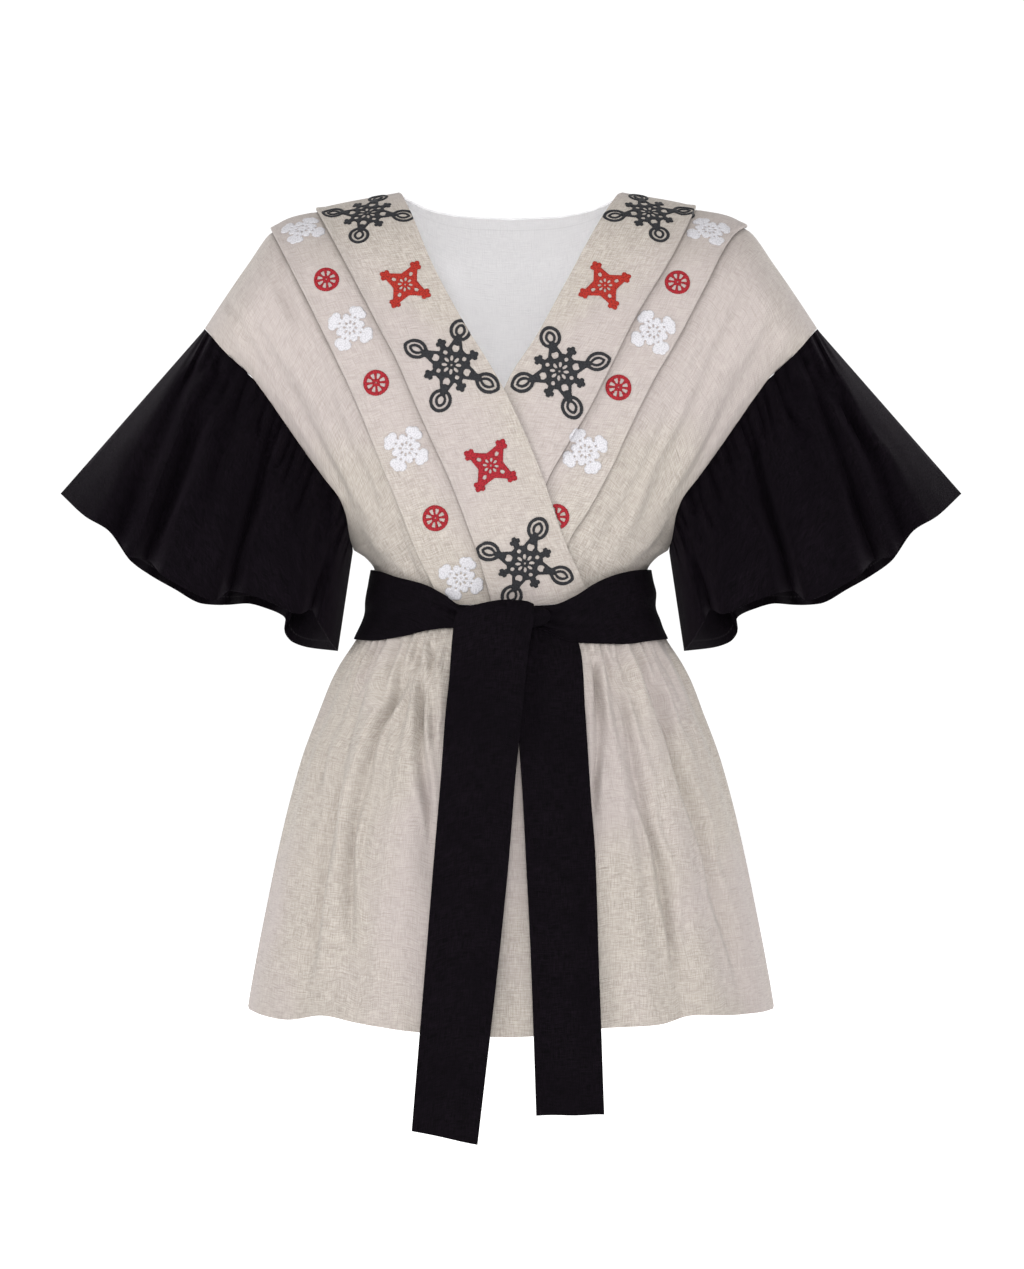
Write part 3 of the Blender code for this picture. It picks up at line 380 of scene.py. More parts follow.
SKIRT_CREASES_FRONT = (
    (0.0026, 0.0045, (-0.448, -0.0905), (-0.503, -0.1139), (-0.533, -0.1323), (-0.584, -0.1468),
     (-0.631, -0.1574), (-0.686, -0.1612), (-0.756, -0.1574)),
    (0.0022, 0.0045, (-0.452, -0.15), (-0.482, -0.1651), (-0.54, -0.1835), (-0.6, -0.1945)),
    (0.0018, 0.005, (-0.575, -0.168), (-0.657, -0.1835), (-0.731, -0.1941), (-0.785, -0.2025)),
    (0.0022, 0.004, (-0.448, -0.09), (-0.547, -0.0878), (-0.61, -0.0801), (-0.645, -0.0768)),
    (0.0016, 0.0035, (-0.448, -0.0775), (-0.537, -0.0753), (-0.56, -0.0748)),
    (0.0014, 0.0035, (-0.447, -0.108), (-0.48, -0.12), (-0.515, -0.129)),
    (0.0014, 0.0035, (-0.447, -0.131), (-0.48, -0.144), (-0.505, -0.156)),
    (0.0026, 0.0045, (-0.448, 0.0915), (-0.503, 0.1101), (-0.558, 0.1217), (-0.613, 0.1323),
     (-0.665, 0.1468), (-0.723, 0.1565), (-0.796, 0.1665)),
    (0.0022, 0.0045, (-0.45, 0.117), (-0.518, 0.1507), (-0.573, 0.1652), (-0.628, 0.1874),
     (-0.686, 0.2019), (-0.749, 0.2202), (-0.795, 0.231)),
    (0.0018, 0.0038, (-0.45, 0.0828), (-0.529, 0.086), (-0.625, 0.0788)),
    (0.0014, 0.0035, (-0.455, 0.139), (-0.511, 0.1613), (-0.545, 0.172)),
    (0.0013, 0.0035, (-0.455, 0.102), (-0.48, 0.113), (-0.53, 0.128)),
)
SKIRT_CREASES_BACK = (
    (0.0024, 0.005, (-0.448, -0.118), (-0.54, -0.148), (-0.64, -0.176), (-0.78, -0.203)),
    (0.002, 0.0045, (-0.448, -0.074), (-0.56, -0.089), (-0.7, -0.112), (-0.77, -0.123)),
    (0.002, 0.0045, (-0.448, -0.025), (-0.58, -0.034), (-0.74, -0.05)),
    (0.0018, 0.0045, (-0.448, 0.02), (-0.56, 0.017), (-0.69, 0.017)),
    (0.0022, 0.005, (-0.448, 0.059), (-0.56, 0.075), (-0.7, 0.092), (-0.78, 0.099)),
    (0.0024, 0.005, (-0.448, 0.108), (-0.54, 0.131), (-0.66, 0.156), (-0.78, 0.181)),
    (0.0014, 0.0035, (-0.448, 0.04), (-0.5, 0.046), (-0.54, 0.05)),
    (0.0014, 0.0035, (-0.448, -0.096), (-0.49, -0.106), (-0.53, -0.116)),
)
SLEEVE_CREASES_RIGHT = (
    (0.006, 0.0075, (-0.165, -0.282), (-0.196, -0.2825), (-0.237, -0.301), (-0.284, -0.319),
     (-0.32, -0.333), (-0.358, -0.35)),
    (0.006, 0.0085, (-0.238, -0.238), (-0.271, -0.244), (-0.308, -0.25), (-0.344, -0.263),
     (-0.378, -0.274), (-0.398, -0.279)),
    (0.0045, 0.006, (-0.322, -0.176), (-0.345, -0.188), (-0.374, -0.192), (-0.412, -0.199)),
    (0.004, 0.011, (-0.165, -0.291), (-0.196, -0.324), (-0.242, -0.347), (-0.272, -0.365),
     (-0.306, -0.378)),
    (0.0025, 0.0045, (-0.21, -0.256), (-0.24, -0.269), (-0.272, -0.279)),
    (0.0025, 0.0045, (-0.25, -0.216), (-0.27, -0.225), (-0.288, -0.234)),
    (0.0022, 0.004, (-0.296, -0.201), (-0.312, -0.206), (-0.328, -0.213)),
    (0.0022, 0.0035, (-0.3, -0.182), (-0.325, -0.188), (-0.35, -0.196)),
    (0.0022, 0.0035, (-0.312, -0.174), (-0.335, -0.179), (-0.36, -0.183)),
    (0.003, 0.007, (-0.2, -0.266), (-0.26, -0.283), (-0.33, -0.3), (-0.385, -0.312)),
)
SLEEVE_CREASES_LEFT = (
    (0.006, 0.008, (-0.172, 0.296), (-0.197, 0.311), (-0.238, 0.335), (-0.272, 0.358), (-0.305, 0.372)),
    (0.006, 0.0085, (-0.245, 0.241), (-0.305, 0.246), (-0.349, 0.261), (-0.392, 0.275)),
    (0.0045, 0.006, (-0.32, 0.169), (-0.349, 0.187), (-0.383, 0.192), (-0.417, 0.199)),
    (0.0035, 0.007, (-0.218, 0.266), (-0.248, 0.287), (-0.276, 0.301), (-0.33, 0.326)),
    (0.003, 0.006, (-0.3, 0.33), (-0.33, 0.342), (-0.36, 0.356)),
    (0.0025, 0.0045, (-0.2, 0.252), (-0.23, 0.256), (-0.262, 0.264)),
    (0.0022, 0.004, (-0.27, 0.21), (-0.29, 0.214), (-0.315, 0.224)),
    (0.0022, 0.0035, (-0.3, 0.185), (-0.325, 0.193), (-0.352, 0.205)),
)
SLEEVE_CREASES_BACK = (
    (0.0055, 0.0085, (-0.17, 0.29), (-0.22, 0.312), (-0.28, 0.34), (-0.34, 0.362)),
    (0.0055, 0.0085, (-0.225, 0.25), (-0.29, 0.265), (-0.35, 0.286), (-0.405, 0.296)),
    (0.0045, 0.007, (-0.28, 0.21), (-0.33, 0.218), (-0.38, 0.227), (-0.42, 0.233)),
    (0.003, 0.005, (-0.32, 0.179), (-0.35, 0.188), (-0.39, 0.196)),
    (0.0025, 0.005, (-0.2, 0.268), (-0.24, 0.28), (-0.28, 0.29)),
)


def along(at, rows, column=1):
    """A smooth curve through the rows of a table, which never overshoots them."""
    table = np.asarray(rows, float)
    xs = table[:, 0]
    ys = table[:, column]
    step = np.diff(xs)
    slope = np.diff(ys) / step
    tangent = np.zeros(len(xs))
    before = slope[:-1]
    after = slope[1:]
    total = np.where(before + after == 0, 1.0, before + after)
    tangent[1:-1] = np.where(before * after > 0, 2 * before * after / total, 0)
    tangent[0] = slope[0]
    tangent[-1] = slope[-1]
    at = np.clip(np.asarray(at, float), xs[0], xs[-1])
    i = np.clip(np.searchsorted(xs, at, side="right") - 1, 0, len(xs) - 2)
    f = (at - xs[i]) / step[i]
    value = ys[i] * (1 + 2 * f) * (1 - f) ** 2 + ys[i + 1] * f * f * (3 - 2 * f)
    bend = tangent[i] * f * (1 - f) ** 2 - tangent[i + 1] * f * f * (1 - f)
    return value + step[i] * bend


def ease(value):
    share = np.clip(value, 0, 1)
    return share * share * (3 - 2 * share)


def unit(vectors):
    size = np.linalg.norm(vectors, axis=-1, keepdims=True)
    return vectors / np.where(size == 0, 1, size)


def torso_square(x, z, column):
    """The square of the torso's depth, which falls below nothing outside it."""
    depth = along(z, TORSO, column)
    below = np.minimum((along(np.abs(x), RIDGE) - z) / SHOULDER_ROUND, 1)
    rounding = 1 - (1 - below) ** 2
    oval = 1 - (np.abs(x) / along(z, TORSO, 1)) ** OVAL_POWER
    return depth**2 * rounding * oval


def torso_frame(x, z, sign):
    """Points on the torso and the directions away from it; sign is -1 in front."""
    column = 2 if sign < 0 else 3
    reach = 1e-5
    y = sign * np.sqrt(np.maximum(torso_square(x, z, column), 0))
    across = torso_square(x + reach, z, column) - torso_square(x - reach, z, column)
    upward = torso_square(x, z + reach, column) - torso_square(x, z - reach, column)
    away = np.stack([-across / (2 * reach), 2 * y, -upward / (2 * reach)], axis=-1)
    return np.stack([x, y, z], axis=-1), unit(away)


def armhole_x(z):
    return np.minimum(along(z, ARMHOLE), along(z, TORSO, 1))


def keep_side(points, sign):
    """Holds points on their own side of the seams, which lie at Y = 0."""
    points = points.copy()
    if sign < 0:
        points[..., 1] = np.minimum(points[..., 1], -SEAM_GAP / 2)
    else:
        points[..., 1] = np.maximum(points[..., 1], SEAM_GAP / 2)
    return points


def uneven(a, b, seed, size=1.0):
    """A smooth uneven number between about -1 and 1 over a plane, the same at every run."""
    dice = np.random.default_rng(seed)
    total = np.zeros(np.broadcast(a, b).shape)
    for _ in range(UNEVEN_WAVES):
        turn = dice.uniform(0, math.tau)
        pitch = size * dice.uniform(*UNEVEN_PITCH)
        shift = dice.uniform(0, math.tau)
        total += np.sin(math.tau * (a * math.cos(turn) + b * math.sin(turn)) / pitch + shift)
    return total / UNEVEN_SCALE


def trough(off, rim, place, narrow):
    """A soft trough with low rims, so many half widths off its middle."""
    return np.exp(-(off**2)) - rim * np.exp(-((np.abs(off) - place) ** 2) * narrow)


def crease_depth(x, z, creases, strength):
    """How far the given creases push the cloth in."""
    total = np.zeros(np.broadcast(x, z).shape)
    share, pitch, on = CREASE_WOBBLE
    for number, (depth, half, *line) in enumerate(creases):
        rows = np.array(sorted(line))
        low, high = rows[0, 0], rows[-1, 0]
        reach = CREASE_FADE * (high - low)
        fade = ease((z - low) / reach + CREASE_FOOT)
        fade = fade * ease((high - z) / (CREASE_TOP[0] * reach) + CREASE_TOP[1])
        wobble = 1 + share * np.sin(z * pitch + on * number)
        off = (x - along(z, rows)) / (half * wobble)
        total = total + strength * depth * fade * trough(off, *CREASE_RIM)
    return total


def add_object(name, data):
    """A new object of the scene."""
    piece = bpy.data.objects.new(name, data)
    bpy.context.scene.collection.objects.link(piece)
    return piece


def make_mesh(name, points, quads, maps, marks, materials):
    """A smooth mesh of quads with its maps, each two numbers for every corner."""
    mesh = bpy.data.meshes.new(name)
    mesh.vertices.add(len(points))
    mesh.vertices.foreach_set("co", np.ascontiguousarray(points, np.float32).ravel())
    mesh.loops.add(quads.size)
    mesh.loops.foreach_set("vertex_index", np.ascontiguousarray(quads, np.int32).ravel())
    mesh.polygons.add(len(quads))
    size = quads.shape[1]
    mesh.polygons.foreach_set("loop_start", np.arange(len(quads), dtype=np.int32) * size)
    mesh.polygons.foreach_set("material_index", np.ascontiguousarray(marks, np.int32))
    mesh.polygons.foreach_set("use_smooth", np.ones(len(quads), bool))
    for word, values in maps.items():
        layer = mesh.uv_layers.new(name=word)
        layer.data.foreach_set("uv", np.ascontiguousarray(values, np.float32).ravel())
    mesh.update(calc_edges=True)
    mesh.validate()
    mesh.set_sharp_from_angle(angle=math.radians(SHARP_ANGLE))
    for material in materials:
        mesh.materials.append(material)
    return add_object(name, mesh)


def run_length(points, axis=0):
    """Metres along each line of points, from nothing at its first."""
    steps = np.linalg.norm(np.diff(points, axis=axis), axis=-1)
    none = np.zeros_like(np.take(steps, [0], axis=axis))
    return np.concatenate([none, np.cumsum(steps, axis=axis)], axis=axis)


def grid_lengths(grid, closed=False):
    """Metres along the rows and down the columns of a grid of points, closed grids unrolled."""
    if closed:
        grid = np.concatenate([grid, grid[:, :1]], axis=1)
    across = run_length(grid, axis=1)
    return across - across[:, grid.shape[1] // 2, None], run_length(grid)


def shell(name, outer, inner, materials, closed=False, press=None):
    """Cloth between two grids of points, facing out on its first material and in on its last."""
    rows, columns = outer.shape[:2]
    steps = columns if closed else columns - 1
    inside = rows * columns
    last = len(materials) - 1
    side = np.cross(outer[1:, :-1] - outer[:-1, :-1], outer[:-1, 1:] - outer[:-1, :-1])
    facing = (side * (outer - inner)[:-1, :-1]).sum() > 0
    across, length = grid_lengths((outer + inner) / 2, closed)
    quads, marks = [], []
    maps = {"grain": [], "edge": []}
    # a map of where shade is painted beside the pleats' folds
    if press is not None:
        maps["press"] = []

    def add(rr, cc, indices, mark):
        quads.append(indices)
        marks.append(np.full(len(indices), mark))
        maps["grain"].append(np.stack([across[rr, cc], -length[rr, cc]], axis=-1))
        maps["edge"].append(np.stack([across[rr, cc], length[-1][cc] - length[rr, cc]], axis=-1))
        if press is not None:
            maps["press"].append(np.stack([press[rr, cc], 0 * press[rr, cc]], axis=-1))

    def add_rim(rr, cc, flip, mark):
        indices = rr * columns + cc % columns
        indices[:, 2:] += inside
        if flip:
            add(rr[:, ::-1], cc[:, ::-1], indices, mark)
        else:
            add(rr, cc, indices[:, ::-1], mark)

    r, c = np.meshgrid(np.arange(rows - 1), np.arange(steps), indexing="ij")
    r, c = r.ravel(), c.ravel()
    around = np.stack([c, c + 1, c + 1, c], axis=1)
    down = np.stack([r, r, r + 1, r + 1], axis=1)
    front = down * columns + around % columns
    add(down, around, front, 0)
    add(down[:, ::-1], around[:, ::-1], front[:, ::-1] + inside, last)
    for row, flip, mark in ((0, True, last), (rows - 1, False, 0)):
        add_rim(np.full((steps, 4), row), around[:steps], flip, mark)
    if not closed:
        r = np.arange(rows - 1)
        for column, flip in ((0, False), (columns - 1, True)):
            add_rim(np.stack([r, r + 1, r + 1, r], axis=1), np.full((rows - 1, 4), column), flip, 0)
    quads = np.concatenate(quads)
    maps = {word: np.concatenate(values) for word, values in maps.items()}
    if facing:
        quads = quads[:, ::-1]
        maps = {word: values[:, ::-1] for word, values in maps.items()}
    points = np.concatenate([outer.reshape(-1, 3), inner.reshape(-1, 3)])
    return make_mesh(name, points, quads, maps, np.concatenate(marks), materials)


def grid_normals(grid, closed=False):
    """The direction away from a grid of points at each of them."""
    if closed:
        du = np.roll(grid, -1, axis=1) - np.roll(grid, 1, axis=1)
    else:
        du = np.gradient(grid, axis=1)
    return unit(np.cross(du, np.gradient(grid, axis=0)))


def thick_shell(name, middle, thick, materials, closed=False, side=0, out=None):
    """Cloth of a thickness on both sides of a grid of points."""
    away = grid_normals(middle, closed)
    if out is not None and (away * out).sum() < 0:
        away = -away
    outer = middle + away * thick / 2
    inner = middle - away * thick / 2
    if side:
        outer = keep_side(outer, side)
        inner = keep_side(inner, side)
    return shell(name, outer, inner, materials, closed)


# Bodice

def bodice_push(x, z, creases):
    """How far the bodice's cloth stands off its plain form."""
    shoulder, armhole, waist = BODICE_FADES
    fade = ease((along(np.abs(x), RIDGE) - z) / shoulder)
    fade = fade * ease((armhole_x(z) - np.abs(x)) / armhole) * ease((z - BODICE_FOOT_Z) / waist)
    soft = BODICE_SOFT * uneven(x, z, *SOFT_WAVES)
    height, pitch = CRINKLE
    slant = np.abs(x) + CRINKLE_SLANT * z
    crinkle = height * ease((np.abs(x) - CRINKLE_START) / CRINKLE_REACH)
    crinkle = crinkle * np.sin(math.tau * slant / pitch + 2.2 * uneven(x, z, *CRINKLE_DRIFT))
    crinkle = crinkle * (0.6 + 0.4 * uneven(x, z, *CRINKLE_SIZES))
    return fade * (soft + crinkle - crease_depth(x, z, creases, BODICE_STRENGTH))


def offset_line(profile, distance):
    """A line moved sideways by a distance, with its corners mitred."""
    run = unit(np.diff(profile, axis=0))
    side = np.stack([-run[:, 1], run[:, 0]], axis=-1)
    first = np.concatenate([side[:1], side])
    second = np.concatenate([side, side[-1:]])
    middle = unit(first + second)
    stretch = 1 / np.maximum((middle * first).sum(axis=1), 0.5)
    return profile + middle * (distance * stretch)[:, None]


def pleat_dip(beyond):
    """How far the layer beside a pleat dips, at a distance from where it meets the fold."""
    return PLEAT_DIP * math.exp(-((beyond / PLEAT_DIP_WIDTH) ** 2))


def pleat_profile(marks, lifts):
    """One row of a front from its edge to the armhole: way along and height over the base.

    The second result is 1 where a layer meets the fold of a pleat, the strip where the material paints the
    fold's shadow.
    """
    points, press = [], []
    start = flat_until = marks[0]
    turn = np.linspace(0, math.pi, TURN_STEPS + 1)
    for fold, steps, raised in zip(marks[1:3], PANEL_STEPS, lifts):
        first = flat_until == marks[0]
        full_from = fold - PLEAT_LAP - PLEAT_CLEAR
        end = fold - FOLD_ROUND
        stops = [start] if first else [start, flat_until]
        stops.extend(np.linspace(flat_until, full_from, steps)[1:])
        stops.append((full_from + end) / 2)
        for s in stops:
            rise = 2 * LAYER_PITCH * float(ease((s - flat_until) / (full_from - flat_until)))
            lift = raised * float(ease((s - full_from) / (end - full_from)))
            points.append((s, rise + lift - (0 if first else pleat_dip(s - flat_until))))
            press.append(float(not first and s == flat_until))
        inner_tip = fold - PLEAT_LAP
        for a in turn:
            lift = raised * (1 + math.cos(a)) / 2
            height = 1.5 * LAYER_PITCH + FOLD_ROUND * math.cos(a) + lift
            points.append((end + FOLD_ROUND * math.sin(a), height))
        for a in turn:
            height = 0.5 * LAYER_PITCH + FOLD_ROUND * math.cos(a)
            points.append((inner_tip + FOLD_ROUND * (1 - math.sin(a)), height))
        press.extend([0.0] * (2 * len(turn)))
        start = inner_tip + 2 * FOLD_ROUND
        flat_until = fold + PLEAT_CLEAR
    points.append((start, 0.0))
    press.append(1.0)
    for i in range(PANEL_STEPS[2] + 1):
        share = math.sin(i / PANEL_STEPS[2] * math.pi / 2)
        s = flat_until + (marks[3] - flat_until) * share
        points.append((s, -pleat_dip(s - flat_until)))
        press.append(float(i == 0))
    return np.array(points), np.array(press)


def ridge_start(line):
    """Where a fold line meets the shoulder seam, as a distance from the midline."""
    near = NECK_X
    far = ARMHOLE_TOP_X
    for _ in range(RIDGE_HALVINGS):
        middle = (near + far) / 2
        if along(along(middle, RIDGE), line) > middle:
            near = middle
        else:
            far = middle
    return near


def front_row(lines, side, t):
    """The key places, the dense run, its heights and its lengths in one row of a front."""
    starts = np.array([NECK_X, ridge_start(lines[1]), ridge_start(lines[2]), ARMHOLE_TOP_X])
    heights = (1 - t) * along(starts, RIDGE) + t * WAIST_Z
    keys = np.array([float(along(h, line)) for h, line in zip(heights[:3], lines)])
    keys[0] = NECK_X + (keys[0] - NECK_X) * float(ease(t / NECK_BLEND))
    keys = np.append(keys, float(armhole_x(heights[3])) if t > 0 else ARMHOLE_TOP_X)
    bend = np.sin(np.linspace(0, 1, ROW_SAMPLES) * math.pi / 2)
    pleated = np.linspace(keys[0], keys[2], ROW_SAMPLES)
    out = np.concatenate([pleated, keys[2] + (keys[3] - keys[2]) * bend[1:]])
    start = np.interp(out, keys, starts)
    z = (1 - t) * along(start, RIDGE) + t * WAIST_Z
    base, _ = torso_frame(side * out, z, -1)
    return keys, out, z, run_length(base)


def wrap_edge_x(z):
    return -along(z, RIGHT_EDGE)


def under_drop(x, z):
    beyond = x - wrap_edge_x(z) - UNDER_DROP_MARGIN
    return -UNDER_DROP * ease(1 - beyond / UNDER_DROP_WIDTH)


def bodice_steps(count):
    """Rows of the bodice, its armhole corners among them, close together at the shoulder."""
    even = np.linspace(0, 1, count) ** ROW_POWER
    return np.unique(np.round(np.concatenate([even, BODICE_ROWS]), 5))


def make_front(name, lines, side, under, materials):
    """A pleated front, whose form drops where it lies under the other one."""
    outer, inner, pressed = [], [], []
    for t in bodice_steps(FRONT_ROWS):
        keys, out, z, way = front_row(lines, side, t)
        marks = np.interp(keys, out, way)
        grown = PLEAT_LIFT_TOP + (1 - PLEAT_LIFT_TOP) * float(ease(t / PLEAT_LIFT_BLEND))
        lifts = np.full(2, PLEAT_LIFT * grown)
        if under:
            heights = np.interp(keys[1:3], out, z)
            beyond = keys[1:3] - wrap_edge_x(heights)
            lifts = lifts * ease((beyond - PLEAT_LIFT_CLEAR) / PLEAT_LIFT_REACH)
        profile, press = pleat_profile(marks, lifts)
        # where the material paints the shadow beside each fold
        pressed.append(press)
        for grid, distance in ((outer, CLOTH / 2), (inner, -CLOTH / 2)):
            line = offset_line(profile, distance)
            x = side * np.interp(line[:, 0], way, out)
            height = np.interp(line[:, 0], way, z) if t > 0 else along(np.abs(x), RIDGE)
            base, away = torso_frame(x, height, -1)
            raised = line[:, 1] + bodice_push(x, height, BODICE_CREASES)
            if under:
                raised = raised + under_drop(x, height)
            grid.append(keep_side(base + away * raised[:, None], -1))
    outer, inner = np.array(outer), np.array(inner)
    return shell(name, outer, inner, materials, press=np.array(pressed))


def back_grid(offset, count, columns):
    """Points of the back at a distance from its plain form."""
    us = np.linspace(-1, 1, columns)
    start = np.abs(us) * ARMHOLE_TOP_X
    top = np.where(start >= NECK_X - 1e-4, along(start, RIDGE), along(start, BACK_NECK))
    rows = []
    for t in bodice_steps(count):
        edge_z = (1 - t) * ARMHOLE_TOP_Z + t * WAIST_Z
        edge = float(armhole_x(edge_z)) if t > 0 else ARMHOLE_TOP_X
        z = (1 - t) * top + t * WAIST_Z
        share = ease(t / BACK_SPREAD_END) * BACK_SPREAD
        spread = us * (1 - share) + np.sin(us * math.pi / 2) * share
        base, away = torso_frame(edge * spread, z, 1)
        push = offset + bodice_push(edge * spread, z, BACK_CREASES)
        rows.append(keep_side(base + away * push[:, None], 1))
    return np.array(rows)


# Skirt

def oval_angle(share):
    """Turns an even share of the way along half an oval into an angle."""
    angle = np.linspace(-math.pi / 2, math.pi / 2, OVAL_SAMPLES)
    x = OVAL_SAMPLE_WIDTH * np.sign(angle) * np.abs(np.sin(angle)) ** (2 / OVAL_POWER)
    y = OVAL_SAMPLE_DEPTH * np.cos(angle)
    way = run_length(np.stack([x, y], axis=-1))
    return np.interp(share, way / way[-1], angle)


def oval(angle, z, table, sign):
    """A point of a ring and the level direction away from it."""
    wide = along(z, table, 1)
    deep = along(z, table, 2 if sign < 0 else 3)
    x = wide * np.sign(angle) * np.abs(np.sin(angle)) ** (2 / OVAL_POWER)
    y = sign * deep * np.cos(angle)
    away_x = OVAL_POWER * np.sign(x) * (np.abs(x) / wide) ** (OVAL_POWER - 1) / wide
    away_y = 2 * y / deep**2
    away = unit(np.stack([away_x, away_y, np.zeros_like(away_x)], axis=-1))
    return np.stack([x, y, z + 0 * x], axis=-1), away


def fold_depth(x, z, folds):
    """How far the large folds push the skirt in."""
    total = np.zeros_like(x)
    for top, middle, foot, high, low, depth, half in folds:
        s = np.clip((high - z) / (high - low), 0, 1)
        line = top * (1 - s) * (1 - 2 * s) + 4 * middle * s * (1 - s) + foot * s * (2 * s - 1)
        spread = half * (FOLD_SPREAD[0] + FOLD_SPREAD[1] * s)
        fade = ease((high + FOLD_RISE - z) / FOLD_FADE) * ease((z - low) / FOLD_FADE + FOLD_END)
        total = total + depth * fade * np.exp(-(((x - line) / spread) ** 2))
    return total


def skirt_grid(sign, columns, rows):
    """Points of half the skirt and the directions away from it."""
    folds = SKIRT_FOLDS_FRONT if sign < 0 else SKIRT_FOLDS_BACK
    creases = SKIRT_CREASES_FRONT if sign < 0 else SKIRT_CREASES_BACK
    u, v = np.meshgrid(np.linspace(0, 1, columns), np.linspace(0, 1, rows) ** GRID_ROW_POWER)
    angle = oval_angle(u)
    across = np.sign(angle) * np.abs(np.sin(angle)) ** (2 / OVAL_POWER)
    z = SKIRT_TOP_Z + v * (along(across, SKIRT_HEM) - SKIRT_TOP_Z)
    point, away = oval(angle, z, SKIRT, sign)
    x = point[..., 0]
    turn = SKIRT_GATHERS * u
    for waves, shift in SKIRT_GATHER_DRIFT:
        turn = turn + shift * np.sin(math.tau * waves * u)
    waves, share = SKIRT_GATHER_UNEVEN
    size = along(z, SKIRT_GATHER_SIZE) * (1 + share * np.cos(math.tau * waves * u))
    middle, reach, height = SKIRT_FINE
    fine = height * np.exp(-(((z - middle) / reach) ** 2)) * np.cos(math.tau * (2 * turn + 0.3))
    fine = fine * (0.75 + 0.6 * uneven(u, v, *GATHER_SIZES))
    pressed = fold_depth(x, z, folds) + crease_depth(x, z, creases, SKIRT_STRENGTH)
    soft = SKIRT_SOFT * uneven(x, z, *SKIRT_WAVES) * ease((SKIRT_SOFT_TOP_Z - z) / 0.08)
    side_fade = ease((1 - np.abs(across)) / SIDE_FADE)
    push = size * np.cos(math.tau * turn) + fine + (soft - pressed) * side_fade
    return point + away * push[..., None], away


# Sleeves

def armhole_loop(sign):
    """The armhole on the wearer's left, from its top to the underarm, evenly spaced."""
    rows = np.array([t for t in BODICE_ROWS if t < 0.81])
    z = (1 - rows) * ARMHOLE_TOP_Z + rows * WAIST_Z
    point, _ = torso_frame(armhole_x(z), z, sign)
    point[0, 1] = 0
    point[-1, 1] = 0
    way = run_length(point)
    return way / way[-1], point


def sleeve_grid(side, columns, rows):
    """Points of a sleeve, once round from the top of the armhole, its front half first."""
    loops = {sign: armhole_loop(sign) for sign in (-1, 1)}
    outward = unit(np.array(SLEEVE_OUTWARD))

    def half(f, v, sign):
        way, loop = loops[sign]
        start = np.stack([np.interp(f, way, loop[:, k]) for k in range(3)], axis=-1)
        near = np.exp(-(((1 - f) / SLEEVE_UNDERARM_REACH) ** 2))
        start = start + outward * (SLEEVE_GAP + SLEEVE_UNDERARM_SHIFT * near)[..., None]
        table = HEM_FRONT if sign < 0 else HEM_BACK
        end = np.stack([along(f, table, 1), sign * along(f, table, 3), along(f, table, 2)], axis=-1)
        point = start * (1 - v[..., None]) + end * v[..., None]
        around = np.sin(math.pi * np.clip(f, 0, 1))
        edge = ease(around / SLEEVE_EDGE_FADE)
        puff = SLEEVE_PUFF * np.sin(math.pi * v) * np.sqrt(around)
        waves, drift = SLEEVE_GATHER_DRIFT
        turn = SLEEVE_GATHERS * f + drift * np.sin(math.tau * waves * f)
        size = SLEEVE_GATHER_GAIN * SLEEVE_GATHER_SIZE * along(v, SLEEVE_GATHER_FADE)
        middle, reach, height = SLEEVE_FINE
        fine = height * np.exp(-(((v - middle) / reach) ** 2))
        rise = size * np.cos(math.tau * turn) + fine * np.cos(math.tau * (2 * turn + 0.2 + 0.5 * v))
        x = side * point[..., 0]
        creases = SLEEVE_CREASES_RIGHT if side < 0 else SLEEVE_CREASES_LEFT
        at, creases = (x, creases) if sign < 0 else (point[..., 0], SLEEVE_CREASES_BACK)
        press = crease_depth(at, point[..., 2], creases, SLEEVE_STRENGTH) * ease(v / 0.1) * edge
        share, from_v = SLEEVE_HEM_FADE
        press = press * (1 - share * ease((v - from_v) / (1 - from_v)))
        soft = SLEEVE_SOFT * uneven(x, point[..., 2], *SLEEVE_WAVES[sign]) * edge * ease(v / 0.15)
        point[..., 1] += sign * (puff + rise * edge + soft - press)
        return point

    u, v = np.meshgrid(np.arange(columns) / columns, np.linspace(0, 1, rows))
    front_part = half(np.clip(2 * u, 0, 1), v, -1)
    back_part = half(np.clip(2 - 2 * u, 0, 1), v, 1)
    return np.where((u <= 0.5)[..., None], front_part, back_part) * np.array([side, 1, 1])


# Sash

def band_grid(columns, rows):
    """The sash round the waist, once round from the wearer's right side."""
    u, v = np.meshgrid(np.arange(columns) / columns, np.linspace(0, 1, rows))
    ahead = u <= 0.5
    angle = np.where(ahead, oval_angle(np.clip(2 * u, 0, 1)), oval_angle(np.clip(2 - 2 * u, 0, 1)))
    x = oval(angle, np.full_like(u, BAND_MIDDLE_Z), BAND, -1)[0][..., 0]
    top = np.where(ahead, along(x, BAND_TOP), BAND_TOP_BACK)
    foot = np.where(ahead, along(x, BAND_FOOT), BAND_FOOT_BACK)
    z = top + (foot - top) * v
    front_point, front_away = oval(angle, z, BAND, -1)
    back_point, back_away = oval(angle, z, BAND, 1)
    point = np.where(ahead[..., None], front_point, back_point)
    away = np.where(ahead[..., None], front_away, back_away)
    down, turns = BAND_CREASE_WAVES
    ripple = 0.5 + 0.5 * np.cos(math.tau * (down * v + turns * u))
    crease = BAND_CREASE * np.sin(math.pi * v) ** 2 * ripple
    ruck = BAND_RUCK * uneven(4 * u, v, *BAND_WAVES) * np.sin(math.pi * v)
    for side, near, far, depth, half, reach in BAND_FOLDS:
        beyond = side * (x - KNOT_X) - BAND_FOLD_START
        share = np.clip(beyond / reach, 0, 1)
        off = (v - near - (far - near) * share) / (half * (1 + 0.5 * share))
        here = (1 - ease(share)) * (beyond > -BAND_FOLD_MARGIN) * ahead
        ruck = ruck - depth * here * trough(off, *BAND_RIM)
    return point + away * (crease + ruck)[..., None]


